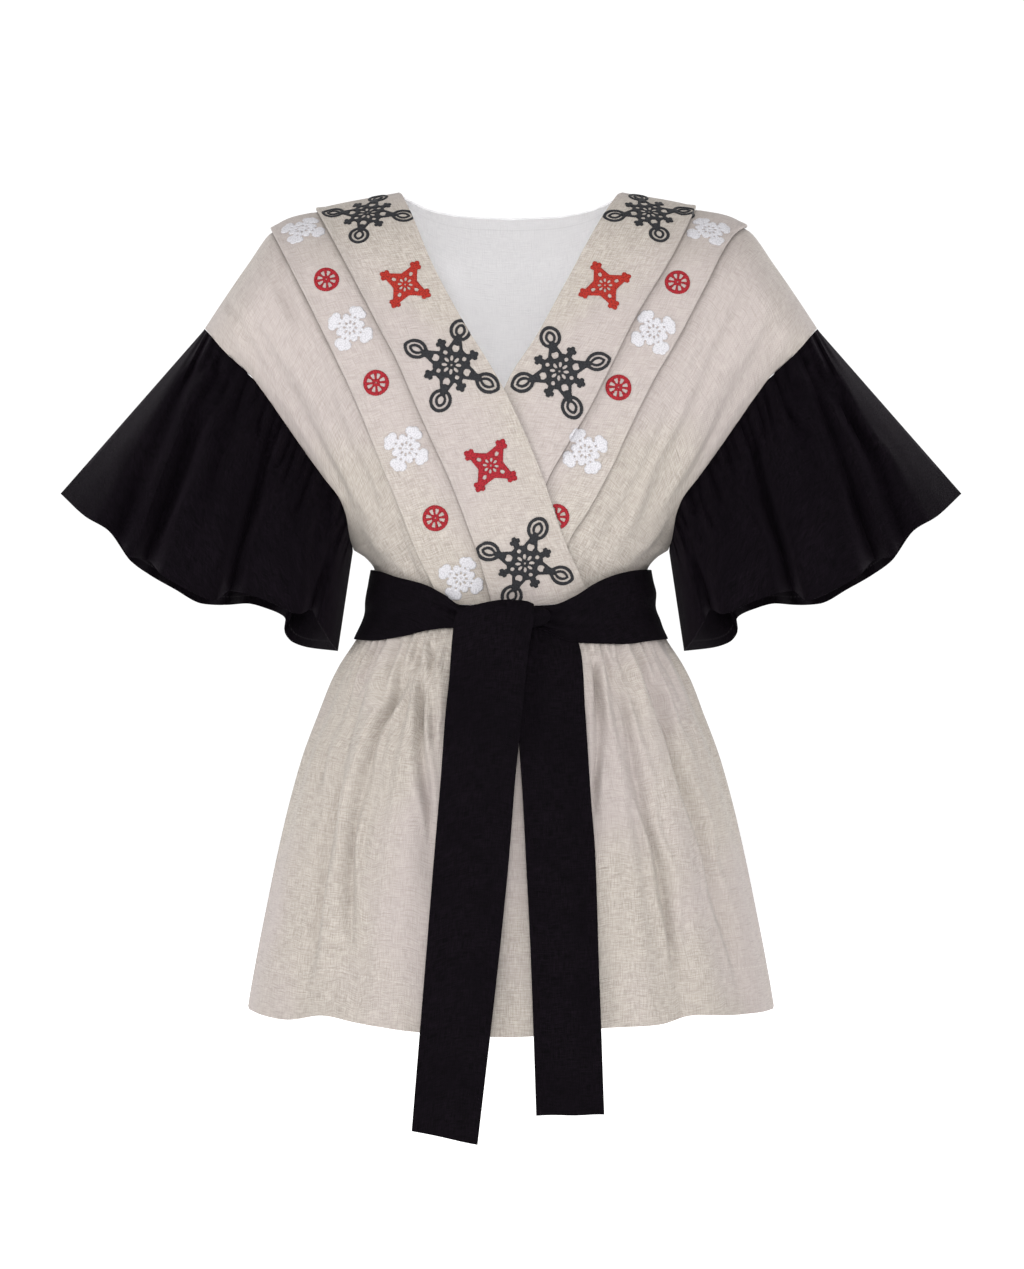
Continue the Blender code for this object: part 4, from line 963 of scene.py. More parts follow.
def knot_grid(columns, rings):
    """The wrapped lump behind the front tail, its back following the band."""
    a = math.tau * np.arange(columns) / columns
    grid = []
    for i in range(rings):
        turn = -math.cos(math.pi * (i + 0.35) / (rings - 0.3))
        x = KNOT_X + KNOT_HALF_WIDTH * turn
        size = (1 - abs(turn) ** 3) ** KNOT_TAPER
        base, _ = oval(np.array([math.asin(x / KNOT_BASE_WIDTH)]), np.array([KNOT_Z]), BAND, -1)
        behind = -(abs(base[0, 1]) + SASH_CLOTH / 2 + KNOT_CLEAR)
        flat = 0.5 + 0.5 * np.cos(a)
        pinch = 1 - KNOT_PINCH * np.cos(3 * a + 2 * turn)
        groove = 1 - KNOT_PINCH * (0.5 + 0.5 * np.cos(5 * a + 1.5 * turn)) * size
        z = KNOT_Z + KNOT_HALF_HEIGHT * size * np.sin(a) * pinch * groove
        y = behind - KNOT_DEPTH * size * flat * groove - KNOT_BACK
        grid.append(np.stack([np.full_like(a, x), y, z], axis=-1))
    return np.array(grid)


def tail_grid(table, foot, over_knot, waves, columns, rows, ripples):
    """A hanging end of the sash, from its top to its foot."""
    u, v = np.meshgrid(np.linspace(0, 1, columns), np.linspace(0, 1, rows) ** GRID_ROW_POWER)
    top_z = table[-1][0]
    lowest = foot[0] + (foot[1] - foot[0]) * u
    start = top_z - along(u, TAIL_TOP_DROP) * over_knot
    z = start + (lowest - start) * v
    left = along(z, table, 1)
    x = left + (along(z, table, 2) - left) * u
    skirt_z = np.maximum(z, SKIRT_HEM[5][1])
    wide = along(skirt_z, SKIRT, 1)
    deep = along(skirt_z, SKIRT, 2) * np.sqrt(1 - (np.abs(x) / wide) ** OVAL_POWER)
    fold = ease((top_z - z) / TAIL_FOLD_START) * np.cos(math.tau * (waves * u + TAIL_FOLD_TURN))
    y = -(deep + along(z, table, 3)) - TAIL_FOLD * fold
    if over_knot:
        y = y + ease((z - (top_z - KNOT_BEND)) / KNOT_BEND) * KNOT_DEPTH * KNOT_COVER
    ripple = TAIL_RIPPLE * uneven(x * 2.5, z, *ripples) * ease((top_z - z) / 0.05)
    size, reach = TAIL_PULL
    pull = size * np.exp(-(((top_z - z) / reach) ** 2))
    pull = pull * np.cos(math.tau * (4.5 - 14 * (top_z - z)) * u)
    return np.stack([x, y - np.abs(ripple) - np.abs(pull), z], axis=-1)


# Materials

class Nodes:
    """Short words for building a material's nodes."""

    def __init__(self, name):
        self.material = bpy.data.materials.new(name)
        self.material.use_nodes = True
        self.tree = self.material.node_tree
        self.shader = self.tree.nodes["Principled BSDF"]

    def join(self, value, socket):
        if isinstance(value, bpy.types.NodeSocket):
            self.tree.links.new(value, socket)
        else:
            socket.default_value = value

    def node(self, kind, inputs, **settings):
        """A new node with its settings, and a value or another node's output for its inputs."""
        node = self.tree.nodes.new("ShaderNode" + kind)
        for word, value in settings.items():
            setattr(node, word, value)
        for key, value in inputs.items():
            self.join(value, node.inputs[key])
        return node

    def math(self, operation, *values):
        return self.node("Math", dict(enumerate(values)), operation=operation).outputs[0]

    def uv(self, layer):
        place = self.node("UVMap", {}, uv_map=layer).outputs[0]
        split = self.node("SeparateXYZ", {0: place})
        return split.outputs[0], split.outputs[1]

    def noise(self, x, y, scale_x, scale_y, detail=3.0, rough=0.55, shift=0.0):
        x = self.math("MULTIPLY_ADD", x, scale_x, shift)
        y = self.math("MULTIPLY_ADD", y, scale_y, shift * 1.7)
        place = self.node("CombineXYZ", {0: x, 1: y}).outputs[0]
        inputs = {"Scale": 1.0, "Detail": detail, "Roughness": rough, "Vector": place}
        return self.node("TexNoise", inputs, noise_dimensions="2D").outputs[0]

    def ramp(self, value, low, high):
        inputs = {0: value, 1: low, 2: high}
        return self.node("MapRange", inputs, interpolation_type="SMOOTHSTEP").outputs[0]

    def mix(self, share, first, second):
        first, second = ((*c, 1.0) if isinstance(c, tuple) else c for c in (first, second))
        return self.node("Mix", {0: share, 6: first, 7: second}, data_type="RGBA").outputs[2]

    def bump(self, height, strength, distance):
        node = self.node("Bump", {"Strength": strength, "Distance": distance, "Height": height})
        self.join(node.outputs[0], self.shader.inputs["Normal"])

    def stitches(self, distance, width, dash, share):
        """Where a row of stitches runs at a distance from the lower edge."""
        s, d = self.uv("edge")
        near = self.math("COMPARE", d, distance, width)
        beat = self.math("FRACT", self.math("MULTIPLY", s, 1 / dash))
        return self.math("MULTIPLY", near, self.math("LESS_THAN", beat, share))

    def finish(self, colour, yarn, rough, sheen, sheen_rough, specular):
        """Sets the shader of a cloth or a thread."""
        self.join(colour, self.shader.inputs["Base Color"])
        self.join(self.math("MULTIPLY_ADD", yarn, 0.1, rough - 0.05), self.shader.inputs["Roughness"])
        self.shader.inputs["Sheen Weight"].default_value = sheen
        self.shader.inputs["Sheen Roughness"].default_value = sheen_rough
        self.shader.inputs["Specular IOR Level"].default_value = specular
        return self.material


# Noises: their scales across and down the cloth, detail, roughness and shift
WANDER = (28, 28, 1.0)
YARN_DOWN = (1150, 85, 2.0, 0.65)
YARN_ACROSS = (80, 1050, 2.0, 0.65, 5.3)
SLUBS_DOWN = (820, 60, 1.0, 0.5, 9.1)
SLUBS_ACROSS = (52, 760, 1.0, 0.5, 3.7)
CLOUDS = (14, 14, 3.0, 0.6, 1.9)
WASH = (5.5, 4.0, 2.0, 0.5, 7.7)
BUMP_HEIGHT = 0.0005
# rows of hem stitches: half width, length of a stitch and its gap, the stitch's share of it
HEM_STITCHES = (0.0007, 0.0042, 0.62)


def cloth(name, base, dark, light, thread=0.0009, slub=0.2, mottle=0.35, rough=0.86, sheen=0.1,
          sheen_tint=(1, 1, 1), specular=0.22, bump=0.5, hem=None, seam=None, other=None, pressed=False):
    """Plain-woven linen: threads both ways, thick places in the yarn and a mottled colour, and where asked
    a painted shadow beside the pleats' folds.
    """
    n = Nodes(name)
    u, v = n.uv("grain")
    drift = n.math("MULTIPLY_ADD", n.noise(u, v, *WANDER), 0.0012, -0.0006)
    uu, vv = n.math("ADD", u, drift), n.math("ADD", v, drift)
    warp, weft = (n.math("SINE", n.math("MULTIPLY", way, math.pi / thread)) for way in (uu, vv))
    along_v, along_u = n.noise(uu, vv, *YARN_DOWN), n.noise(uu, vv, *YARN_ACROSS)
    thick_v = n.ramp(n.noise(uu, vv, *SLUBS_DOWN), 0.6, 0.78)
    thick_u = n.ramp(n.noise(uu, vv, *SLUBS_ACROSS), 0.58, 0.76)
    cloud = n.ramp(n.noise(u, v, *CLOUDS), 0.3, 0.7)
    yarn = n.math("ADD", n.math("MULTIPLY", along_v, 0.5), n.math("MULTIPLY", along_u, 0.5))
    colour = n.mix(n.ramp(yarn, 0.3, 0.7), dark, light)
    colour = n.mix(n.math("MULTIPLY", cloud, mottle), colour, base)
    if other is not None:
        wash = n.ramp(n.noise(u, v, *WASH), 0.38, 0.62)
        colour = n.mix(n.math("MULTIPLY", wash, 0.5), colour, other)
    slubs = n.math("MAXIMUM", thick_v, thick_u)
    colour = n.mix(n.math("MULTIPLY", slubs, slub), colour, tuple(0.72 * c for c in dark))
    lift = n.math("MULTIPLY_ADD", n.math("MULTIPLY", warp, weft), 0.3, n.math("MULTIPLY", yarn, 0.9))
    lift = n.math("ADD", lift, n.math("MULTIPLY", slubs, 0.8))
    if hem is not None:
        place, hem_colour = hem
        row = n.stitches(place, *HEM_STITCHES)
        colour = n.mix(n.math("MULTIPLY", row, 0.22), colour, hem_colour)
        line = n.math("COMPARE", n.uv("edge")[1], place, 0.0011)
        lift = n.math("SUBTRACT", lift, n.math("MULTIPLY", line, 1.6))
    # painted shadow: darkens a thin strip of the lower layer beside each pleat's fold, where the fold's
    # shade falls
    if pressed:
        shade = n.math("MULTIPLY", n.uv("press")[0], 0.42)
        colour = n.mix(shade, colour, tuple(0.5 * c for c in dark))
    if seam is not None:
        line = n.math("COMPARE", v, -seam, 0.0007)
        colour = n.mix(n.math("MULTIPLY", line, 0.12), colour, tuple(0.62 * c for c in dark))
        lift = n.math("SUBTRACT", lift, n.math("MULTIPLY", line, 1.5))
    n.bump(lift, bump, BUMP_HEIGHT)
    n.shader.inputs["Sheen Tint"].default_value = (*sheen_tint, 1.0)
    return n.finish(colour, yarn, rough, sheen, 0.45, specular)


NATURAL = ((0.392, 0.353, 0.316), (0.286, 0.252, 0.221), (0.494, 0.45, 0.408))
PINKISH = (0.4, 0.347, 0.347)
BLACK = ((0.0016, 0.0009, 0.0019), (0.0003, 0.0002, 0.0004), (0.0058, 0.0037, 0.0063))
DARK = {"slub": 0.25, "mottle": 0.5, "sheen_tint": (0.8, 0.6, 0.85)}
linen = cloth("linen_natural", *NATURAL, hem=(0.045, (0.6, 0.55, 0.52)), other=PINKISH)
# the bodice's linen paints shade beside the pleats' folds
linen_painted_fold_shade = cloth("linen_natural_painted_fold_shade", *NATURAL, other=PINKISH, pressed=True)
linen_back = cloth("linen_natural_back", *NATURAL, other=PINKISH)
lining = cloth("lining_white", (0.915, 0.905, 0.92), (0.86, 0.85, 0.868), (0.95, 0.942, 0.952),
               thread=0.0007, slub=0.1, mottle=0.5, bump=0.3, sheen=0.04, seam=0.014)
black = cloth("linen_black", *BLACK, **DARK, sheen=0.016, specular=0.04)
black_inside = cloth("linen_black_inside", *BLACK, **DARK, sheen=0.016, specular=0.04,
                     hem=(0.009, (0.05, 0.045, 0.05)))
sash = cloth("sash_black", *BLACK, **{**DARK, "sheen_tint": (0.8, 0.62, 0.85)}, sheen=0.006, specular=0.05)

# Pieces

right_lines = (RIGHT_EDGE, RIGHT_FOLD_ONE, RIGHT_FOLD_TWO)
left_lines = (LEFT_EDGE, LEFT_FOLD_ONE, LEFT_FOLD_TWO)
front_right = make_front("cloth_front_right", right_lines, -1, False, (linen_painted_fold_shade,))
front_left = make_front("cloth_front_left", left_lines, 1, True, (linen_painted_fold_shade,))
faces = [back_grid(offset, *BACK_GRID) for offset in (CLOTH / 2, -CLOTH / 2)]
back = shell("cloth_back", *faces, (linen_back, lining))
near = -(CLOTH / 2 + LINING_GAP)
faces = [back_grid(offset, *LINING_GRID) for offset in (near, near - CLOTH)]
back_lining = shell("cloth_back_lining", *faces, (lining,))

skirts = []
for name, sign in (("cloth_skirt_front", -1), ("cloth_skirt_back", 1)):
    grid, away = skirt_grid(sign, *SKIRT_GRIDS[sign])
    skirts.append(thick_shell(name, grid, CLOTH, (linen,), side=sign, out=away))
sleeves = []
for name, side in (("cloth_sleeve_right", -1), ("cloth_sleeve_left", 1)):
    grid = sleeve_grid(side, *SLEEVE_GRID)
    centre = grid.mean(axis=1, keepdims=True)
    looks = (black, black_inside)
    sleeves.append(thick_shell(name, grid, CLOTH, looks, closed=True, out=grid - centre))
grid = band_grid(*BAND_GRID)
level = np.array([1, 1, 0])
band = thick_shell("cloth_sash_band", grid, SASH_CLOTH, (sash,), closed=True, out=grid * level)
outward = np.array([0.0, -1.0, 0.0])
grid = tail_grid(FRONT_TAIL, FRONT_TAIL_FOOT, True, 1, *FRONT_TAIL_GRID, FRONT_TAIL_WAVES)
tail_front = thick_shell("cloth_sash_tail_right", grid, SASH_CLOTH, (sash,), out=outward)
grid = tail_grid(BACK_TAIL, BACK_TAIL_FOOT, False, 1.5, *BACK_TAIL_GRID, BACK_TAIL_WAVES)
tail_back = thick_shell("cloth_sash_tail_left", grid, SASH_CLOTH, (sash,), out=outward)


def make_knot():
    """The knot's lump, whose ends are fans of triangles."""
    grid = knot_grid(*KNOT_GRID)
    rings, columns = grid.shape[:2]
    r, c = np.meshgrid(np.arange(rings - 1), np.arange(columns), indexing="ij")
    r, c = r.ravel(), c.ravel()
    rr = np.stack([r, r, r + 1, r + 1], axis=1)
    cc = np.stack([c, c + 1, c + 1, c], axis=1)
    faces = (rr * columns + cc % columns).tolist()
    across, down = grid_lengths(grid, True)
    uv = np.stack([across[rr, cc], down[rr, cc]], axis=-1)
    points = np.concatenate([grid.reshape(-1, 3), grid[0].mean(axis=0)[None], grid[-1].mean(axis=0)[None]])
    c = np.arange(columns)
    for ring, centre, way in ((0, len(points) - 2, -1), (rings - 1, len(points) - 1, 1)):
        first = ring * columns + c
        fan = np.stack([first, ring * columns + (c + 1) % columns, np.full(columns, centre)], axis=1)
        faces += fan[:, ::way].tolist()
    mesh = bpy.data.meshes.new("cloth_sash_knot")
    mesh.from_pydata(points.tolist(), [], faces)
    layer = mesh.uv_layers.new(name="grain")
    flat = np.concatenate([uv.reshape(-1, 2), np.zeros((6 * columns, 2))])
    layer.data.foreach_set("uv", flat.astype(np.float32).ravel())
    mesh.polygons.foreach_set("use_smooth", np.ones(len(faces), bool))
    mesh.update()
    mesh.materials.append(sash)
    return add_object("cloth_sash_knot", mesh)


knot = make_knot()

for piece, node, slot in (
    (front_right, "front_right", "linen_natural"), (front_left, "front_left", "linen_natural"),
    (back, "back", "linen_natural"), (back_lining, "back_lining", "lining_white"),
    (skirts[0], "skirt_front", "linen_natural"), (skirts[1], "skirt_back", "linen_natural"),
    (sleeves[0], "sleeve_right", "linen_black"), (sleeves[1], "sleeve_left", "linen_black"),
    (band, "sash_band", "sash_black"), (knot, "sash_knot", "sash_black"),
    (tail_front, "sash_tail_right", "sash_black"), (tail_back, "sash_tail_left", "sash_black"),
):
    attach(piece, "root")
    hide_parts(node)

# Lace

LACE_CELL = 0.00075
LACE_HEIGHT = 0.0011
LACE_LIFT = 0.00012
LACE_ROUND = 0.0017
LACE_EDGE_GAP = 0.0008
LACE_LEAST_SLOPE = 0.35
LACE_GRAIN_STEP = 0.13
FIELD_STEP = 1e-5
# where the rays that find the cloth start, and how far they reach
RAY_START = 0.02
RAY_REACH = 0.03
# the map of a front: its first row's share of the way down, its rows and columns
MAP_TOP = 0.0005
MAP_ROWS = 260
MAP_COLUMNS = 200


def disc(a, b, at, radius):
    return radius - np.hypot(a - at[0], b - at[1])


def bar(a, b, start, end, first, last):
    """Inside distance of a straight bar whose half width runs from first to last."""
    run = np.array(end, float) - start
    a, b = a - start[0], b - start[1]
    share = np.clip((a * run[0] + b * run[1]) / (run @ run), 0, 1)
    return first + (last - first) * share - np.hypot(a - share * run[0], b - share * run[1])


def turned(a, b, at, angle):
    """Places seen from a point and an angle."""
    a, b = a - at[0], b - at[1]
    c, s = math.cos(angle), math.sin(angle)
    return a * c + b * s, -a * s + b * c


def drop_hole(a, b, at, angle, long, wide):
    """Inside distance of an oval hole whose long side points along angle."""
    x, y = turned(a, b, at, angle)
    return (1 - np.hypot(x / long, y / wide)) * min(long, wide)


def polar(radius, angle):
    return radius * math.cos(angle), radius * math.sin(angle)


def pointed_oval(a, b, middle, angle, long, wide):
    """Inside distance of an oval with pointed ends, long and wide being its halves."""
    radius = (long * long + wide * wide) / (2 * wide)
    x, y = turned(a, b, middle, angle)
    shift = radius - wide
    return np.minimum(radius - np.hypot(x, y + shift), radius - np.hypot(x, y - shift))


def four(turn=0.0):
    return [turn + k * math.pi / 2 for k in range(4)]


def eight(on=0.0):
    """Angles an eighth of a turn apart, moved on by a share of that."""
    return [(k + on) * math.pi / 4 for k in range(8)]


def joined(fields):
    """The inside distance of several shapes together."""
    return np.maximum.reduce(fields)


def loop_cross(lean):
    """A cross of four double loops round an openwork middle, two arms longer than the others."""
    arms = ((0.0, 0.0525, 0.0134, 0.01), (math.pi, 0.051, 0.013, 0.0098),
            (math.pi / 2 + lean, 0.0468, 0.0112, 0.0108), (1.5 * math.pi + lean, 0.0478, 0.0116, 0.011))

    def field_at(a, b):
        solid = [disc(a, b, (0, 0), 0.0182)]
        for angle, *_ in arms:
            solid.append(bar(a, b, polar(0.012, angle), polar(0.0265, angle), 0.009, 0.0036))
        for angle in four(math.pi / 4 + lean / 2):
            solid.append(bar(a, b, polar(0.015, angle), polar(0.0235, angle), 0.004, 0.0022))
            for reach, off in ((0.0262, 0.0), (0.0238, 0.125), (0.0238, -0.125)):
                solid.append(disc(a, b, polar(reach, angle + off), 0.0024))
        holes = [disc(a, b, (0, 0), 0.0011)]
        for angle in eight(0.5):
            holes.append(drop_hole(a, b, polar(0.0068, angle), angle, 0.0027, 0.0014))
        for angle in four(math.pi / 4 + lean / 2):
            holes.append(disc(a, b, polar(0.0136, angle), 0.002))
        for angle, *_ in arms:
            holes.append(drop_hole(a, b, polar(0.0172, angle), angle, 0.0038, 0.0034))
        field = [np.minimum(joined(solid), -joined(holes))]
        for angle, tip, long, wide in arms:
            whole = pointed_oval(a, b, polar(tip - long, angle), angle, long, wide)
            round_end = disc(a, b, polar(tip - long - 0.0005, angle), wide * 0.99)
            whole = np.maximum(whole, round_end)
            outer = np.minimum(whole, 0.0034 - whole)
            core = pointed_oval(a, b, polar(tip - long - 0.0004, angle), angle, long * 0.6, wide * 0.5)
            inner = np.minimum(core, 0.0028 - core)
            neck = bar(a, b, polar(0.0235, angle), polar(tip - 2 * long + 0.003, angle), 0.004, 0.0034)
            field.extend([outer, inner, neck])
        return joined(field)

    return field_at


def star(a, b):
    """A star of four arms with knobs at their tips and holes round its middle."""
    solid = [disc(a, b, (0, 0), 0.0112)]
    for angle in four():
        solid.append(bar(a, b, polar(0.004, angle), polar(0.0205, angle), 0.0106, 0.003))
        for reach, lean in ((0.025, 0.0), (0.0222, 0.15), (0.0222, -0.15)):
            solid.append(disc(a, b, polar(reach, angle + lean), 0.0026))
    holes = [disc(a, b, (0, 0), 0.0009)]
    for angle in eight(0.5):
        holes.append(drop_hole(a, b, polar(0.0054, angle), angle, 0.0019, 0.0011))
    for angle in four():
        holes.append(drop_hole(a, b, polar(0.0122, angle), angle, 0.0021, 0.0017))
    return np.minimum(joined(solid), -joined(holes))


def wheel(a, b):
    """A wheel of eight spokes."""
    far = np.hypot(a, b)
    ring = np.minimum(0.0126 - far, far - 0.009)
    field = [ring, np.minimum(0.0038 - far, far - 0.0006)]
    for angle in eight():
        field.append(bar(a, b, polar(0.0025, angle), polar(0.01, angle), 0.0008, 0.0016))
    return joined(field)


def rosette(a, b):
    """A rosette of four round lobes with small bumps between them."""
    field = [disc(a, b, (0, 0), 0.0115)]
    for angle in four():
        field.append(bar(a, b, polar(0.008, angle), polar(0.015, angle), 0.0046, 0.0044))
        for off in (-0.24, 0.24):
            field.append(disc(a, b, polar(0.0176, angle + off), 0.0046))
        field.append(disc(a, b, polar(0.019, angle), 0.0046))
    for angle in four(math.pi / 4):
        field.append(disc(a, b, polar(0.0112, angle), 0.0034))
    holes = [disc(a, b, (0, 0), 0.0007)]
    for angle in eight(0.5):
        holes.append(drop_hole(a, b, polar(0.0056, angle), angle, 0.0016, 0.0009))
    for angle in four():
        holes.append(disc(a, b, polar(0.0112, angle), 0.001))
    return np.minimum(joined(field), -joined(holes))


def lace_sheet(shape, reach, turn):
    """Points in the lace's own plane with their heights, and the quads that lie inside it."""
    count = int(reach / LACE_CELL)
    line = np.arange(-count, count + 1) * LACE_CELL
    a, b = np.meshgrid(line, line)
    field = shape(a, b)
    ga = (shape(a + FIELD_STEP, b) - field) / FIELD_STEP
    gb = (shape(a, b + FIELD_STEP) - field) / FIELD_STEP
    steep = np.maximum(np.hypot(ga, gb), LACE_LEAST_SLOPE)
    snap = np.abs(field) < 0.5 * LACE_CELL * steep
    shift = np.where(snap, -field / steep**2, 0)
    a, b = a + shift * ga, b + shift * gb
    inside = snap | (field > 0)
    whole = inside[:-1, :-1] & inside[:-1, 1:] & inside[1:, :-1] & inside[1:, 1:]
    depth = np.where(snap, 0, np.maximum(field, 0))
    height = np.sqrt(np.maximum(1 - (1 - np.minimum(depth / LACE_ROUND, 1)) ** 2, 0))
    r, c = np.nonzero(whole)
    columns = len(line)
    corner = r * columns + c
    quads = np.stack([corner, corner + 1, corner + columns + 1, corner + columns], axis=1)
    cos, sin = math.cos(turn), math.sin(turn)
    places = np.stack([a * cos - b * sin, a * sin + b * cos], axis=-1).reshape(-1, 2)
    return places, height.ravel(), quads


def front_map(lines, side, x0, z0):
    """Turns places in a flat lace into points on a front, round its centre."""
    steps = np.linspace(MAP_TOP, 1, MAP_ROWS)
    rows = [front_row(lines, side, t) for t in steps]
    even = np.linspace(0, 1, MAP_COLUMNS)
    spots = np.array([np.interp(even, np.linspace(0, 1, len(out)), out) for _, out, _, _ in rows])
    high = np.array([np.interp(spot, out, z) for spot, (_, out, z, _) in zip(spots, rows)])
    points, away = torso_frame(side * spots, high, -1)
    near = np.hypot(side * spots - x0, high - z0)
    i0, j0 = np.unravel_index(np.argmin(near), near.shape)
    way_j = run_length(points, axis=1)
    way_j = way_j - way_j[:, j0, None]
    way_i = run_length(points[:, j0])
    way_i = way_i - way_i[i0]
    normal = away[i0, j0]
    e1 = unit(np.array([1.0, 0, 0]) - normal[0] * normal)
    e2 = np.cross(normal, e1)
    e2 = e2 if e2[2] > 0 else -e2
    row_way = unit(points[i0, j0 + 1] - points[i0, j0 - 1])
    column_way = unit(points[i0 + 1, j0] - points[i0 - 1, j0])
    basis = np.array([[row_way @ e1, column_way @ e1], [row_way @ e2, column_way @ e2]])
    solve = np.linalg.inv(basis)

    def place(flat):
        along_row, along_column = solve @ flat.T
        i = np.interp(along_column, way_i, np.arange(len(steps)))
        low = np.clip(np.floor(i).astype(int), 0, len(steps) - 2)
        f = i - low
        j = np.empty((2, len(flat)))
        for number in np.unique(low):
            pick = low == number
            for k in (0, 1):
                j[k, pick] = np.interp(along_row[pick], way_j[number + k], np.arange(way_j.shape[1]))
        found = []
        for values in (spots, high):
            ends = []
            for k in (0, 1):
                left = np.clip(np.floor(j[k]).astype(int), 0, values.shape[1] - 2)
                g = j[k] - left
                row = low + k
                ends.append(values[row, left] * (1 - g) + values[row, left + 1] * g)
            found.append(ends[0] * (1 - f) + ends[1] * f)
        outside = (along_column < way_i[0]) | (along_column > way_i[-1])
        return side * found[0], found[1], outside

    return place


def make_lace(name, items, fronts, material):
    """One object of several pieces of lace: shape, reach, side, x, z, turn in degrees, size."""
    all_points, all_quads, all_uv = [], [], []
    total = 0
    for shape, reach, side, x0, z0, turn, size in items:
        flat, height, quads = lace_sheet(shape, reach, math.radians(turn))
        used, quads = np.unique(quads, return_inverse=True)
        quads = quads.reshape(-1, 4)
        flat, height = flat[used] * size, height[used]
        lines = right_lines if side < 0 else left_lines
        x, z, lost = front_map(lines, side, x0, z0)(flat)
        if side > 0:
            lost = lost | (x < wrap_edge_x(z) + LACE_EDGE_GAP)
        base, away = torso_frame(x, z, -1)
        top = np.zeros_like(base)
        tree = fronts[side]
        for k in range(len(base)):
            if lost[k]:
                continue
            start = Vector(base[k] + away[k] * RAY_START)
            hit, *_ = tree.ray_cast(start, Vector(-away[k]), RAY_REACH)
            if hit is None:
                lost[k] = True
            else:
                top[k] = hit
        quads = quads[~lost[quads].any(axis=1)]
        edges = np.concatenate([quads[:, [k, (k + 1) % 4]] for k in range(4)])
        ordered = np.sort(edges, axis=1)
        _, index, count = np.unique(ordered, axis=0, return_inverse=True, return_counts=True)
        rim = edges[count[index.ravel()] == 1]
        lift = LACE_LIFT + LACE_HEIGHT * (0.25 + 0.75 * height)
        upper = top + away * lift[:, None]
        lower = top + away * LACE_LIFT
        amount = len(upper)
        sides = np.stack([rim[:, 1], rim[:, 0], rim[:, 0] + amount, rim[:, 1] + amount], axis=1)
        faces = np.concatenate([quads, quads[:, ::-1] + amount, sides])
        points = np.concatenate([upper, lower])
        i, j, _, k = quads[0]
        if np.cross(upper[j] - upper[i], upper[k] - upper[i]) @ away[i] < 0:
            faces = faces[:, ::-1]
        kept, faces = np.unique(faces, return_inverse=True)
        all_points.append(points[kept])
        all_quads.append(faces.reshape(-1, 4) + total)
        total += len(kept)
        spread = np.concatenate([flat, flat])[kept]
        all_uv.append(spread[faces.reshape(-1, 4)] + (LACE_GRAIN_STEP * len(all_uv), 0.0))
    quads = np.concatenate(all_quads)
    maps = {"grain": np.concatenate(all_uv)}
    piece = make_mesh(name, np.concatenate(all_points), quads, maps, np.zeros(len(quads)), (material,))
    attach(piece, "root")
    return piece


def crochet(name, base, dark, light, sheen, rough=0.75):
    """Twisted thread worked in small stitches."""
    n = Nodes(name)
    u, v = n.uv("grain")
    grain = n.noise(u, v, 900, 900, 2.0)
    place = n.node("CombineXYZ", {way: n.math("MULTIPLY", at, 780) for way, at in enumerate((u, v))})
    inputs = {"Scale": 1.0, "Vector": place.outputs[0]}
    far = n.node("TexVoronoi", inputs, voronoi_dimensions="2D").outputs["Distance"]
    colour = n.mix(n.ramp(far, 0.15, 0.75), light, dark)
    colour = n.mix(n.math("MULTIPLY", n.ramp(grain, 0.35, 0.65), 0.5), colour, base)
    n.bump(n.math("SUBTRACT", n.math("MULTIPLY", grain, 0.3), far), 0.7, 0.0004)
    return n.finish(colour, grain, rough, sheen, 0.4, 0.3)


THREADS = {
    "black": ((0.0095, 0.0098, 0.0122), (0.0036, 0.0038, 0.005), (0.02, 0.0208, 0.025), 0.1),
    "red": ((0.285, 0.01, 0.005), (0.135, 0.004, 0.003), (0.38, 0.02, 0.008), 0.1),
    "wine": ((0.255, 0.004, 0.011), (0.115, 0.002, 0.005), (0.345, 0.008, 0.018), 0.1),
    "white": ((0.5, 0.49, 0.515), (0.39, 0.38, 0.405), (0.57, 0.562, 0.585), 0.05),
}
threads = {word: crochet("thread_" + word, *looks) for word, looks in THREADS.items()}


def lace_tree(piece):
    mesh = piece.data
    points = np.zeros(len(mesh.vertices) * 3, np.float32)
    mesh.vertices.foreach_get("co", points)
    corners = np.zeros(len(mesh.loops), np.int32)
    mesh.loops.foreach_get("vertex_index", corners)
    return BVHTree.FromPolygons(points.reshape(-1, 3).tolist(), corners.reshape(-1, 4).tolist())


fronts = {-1: lace_tree(front_right), 1: lace_tree(front_left)}
CROSS, LEANING, STAR = (loop_cross(0.0), 0.055), (loop_cross(0.19), 0.055), (star, 0.029)
WHEEL, ROSETTE = (wheel, 0.0145), (rosette, 0.0255)
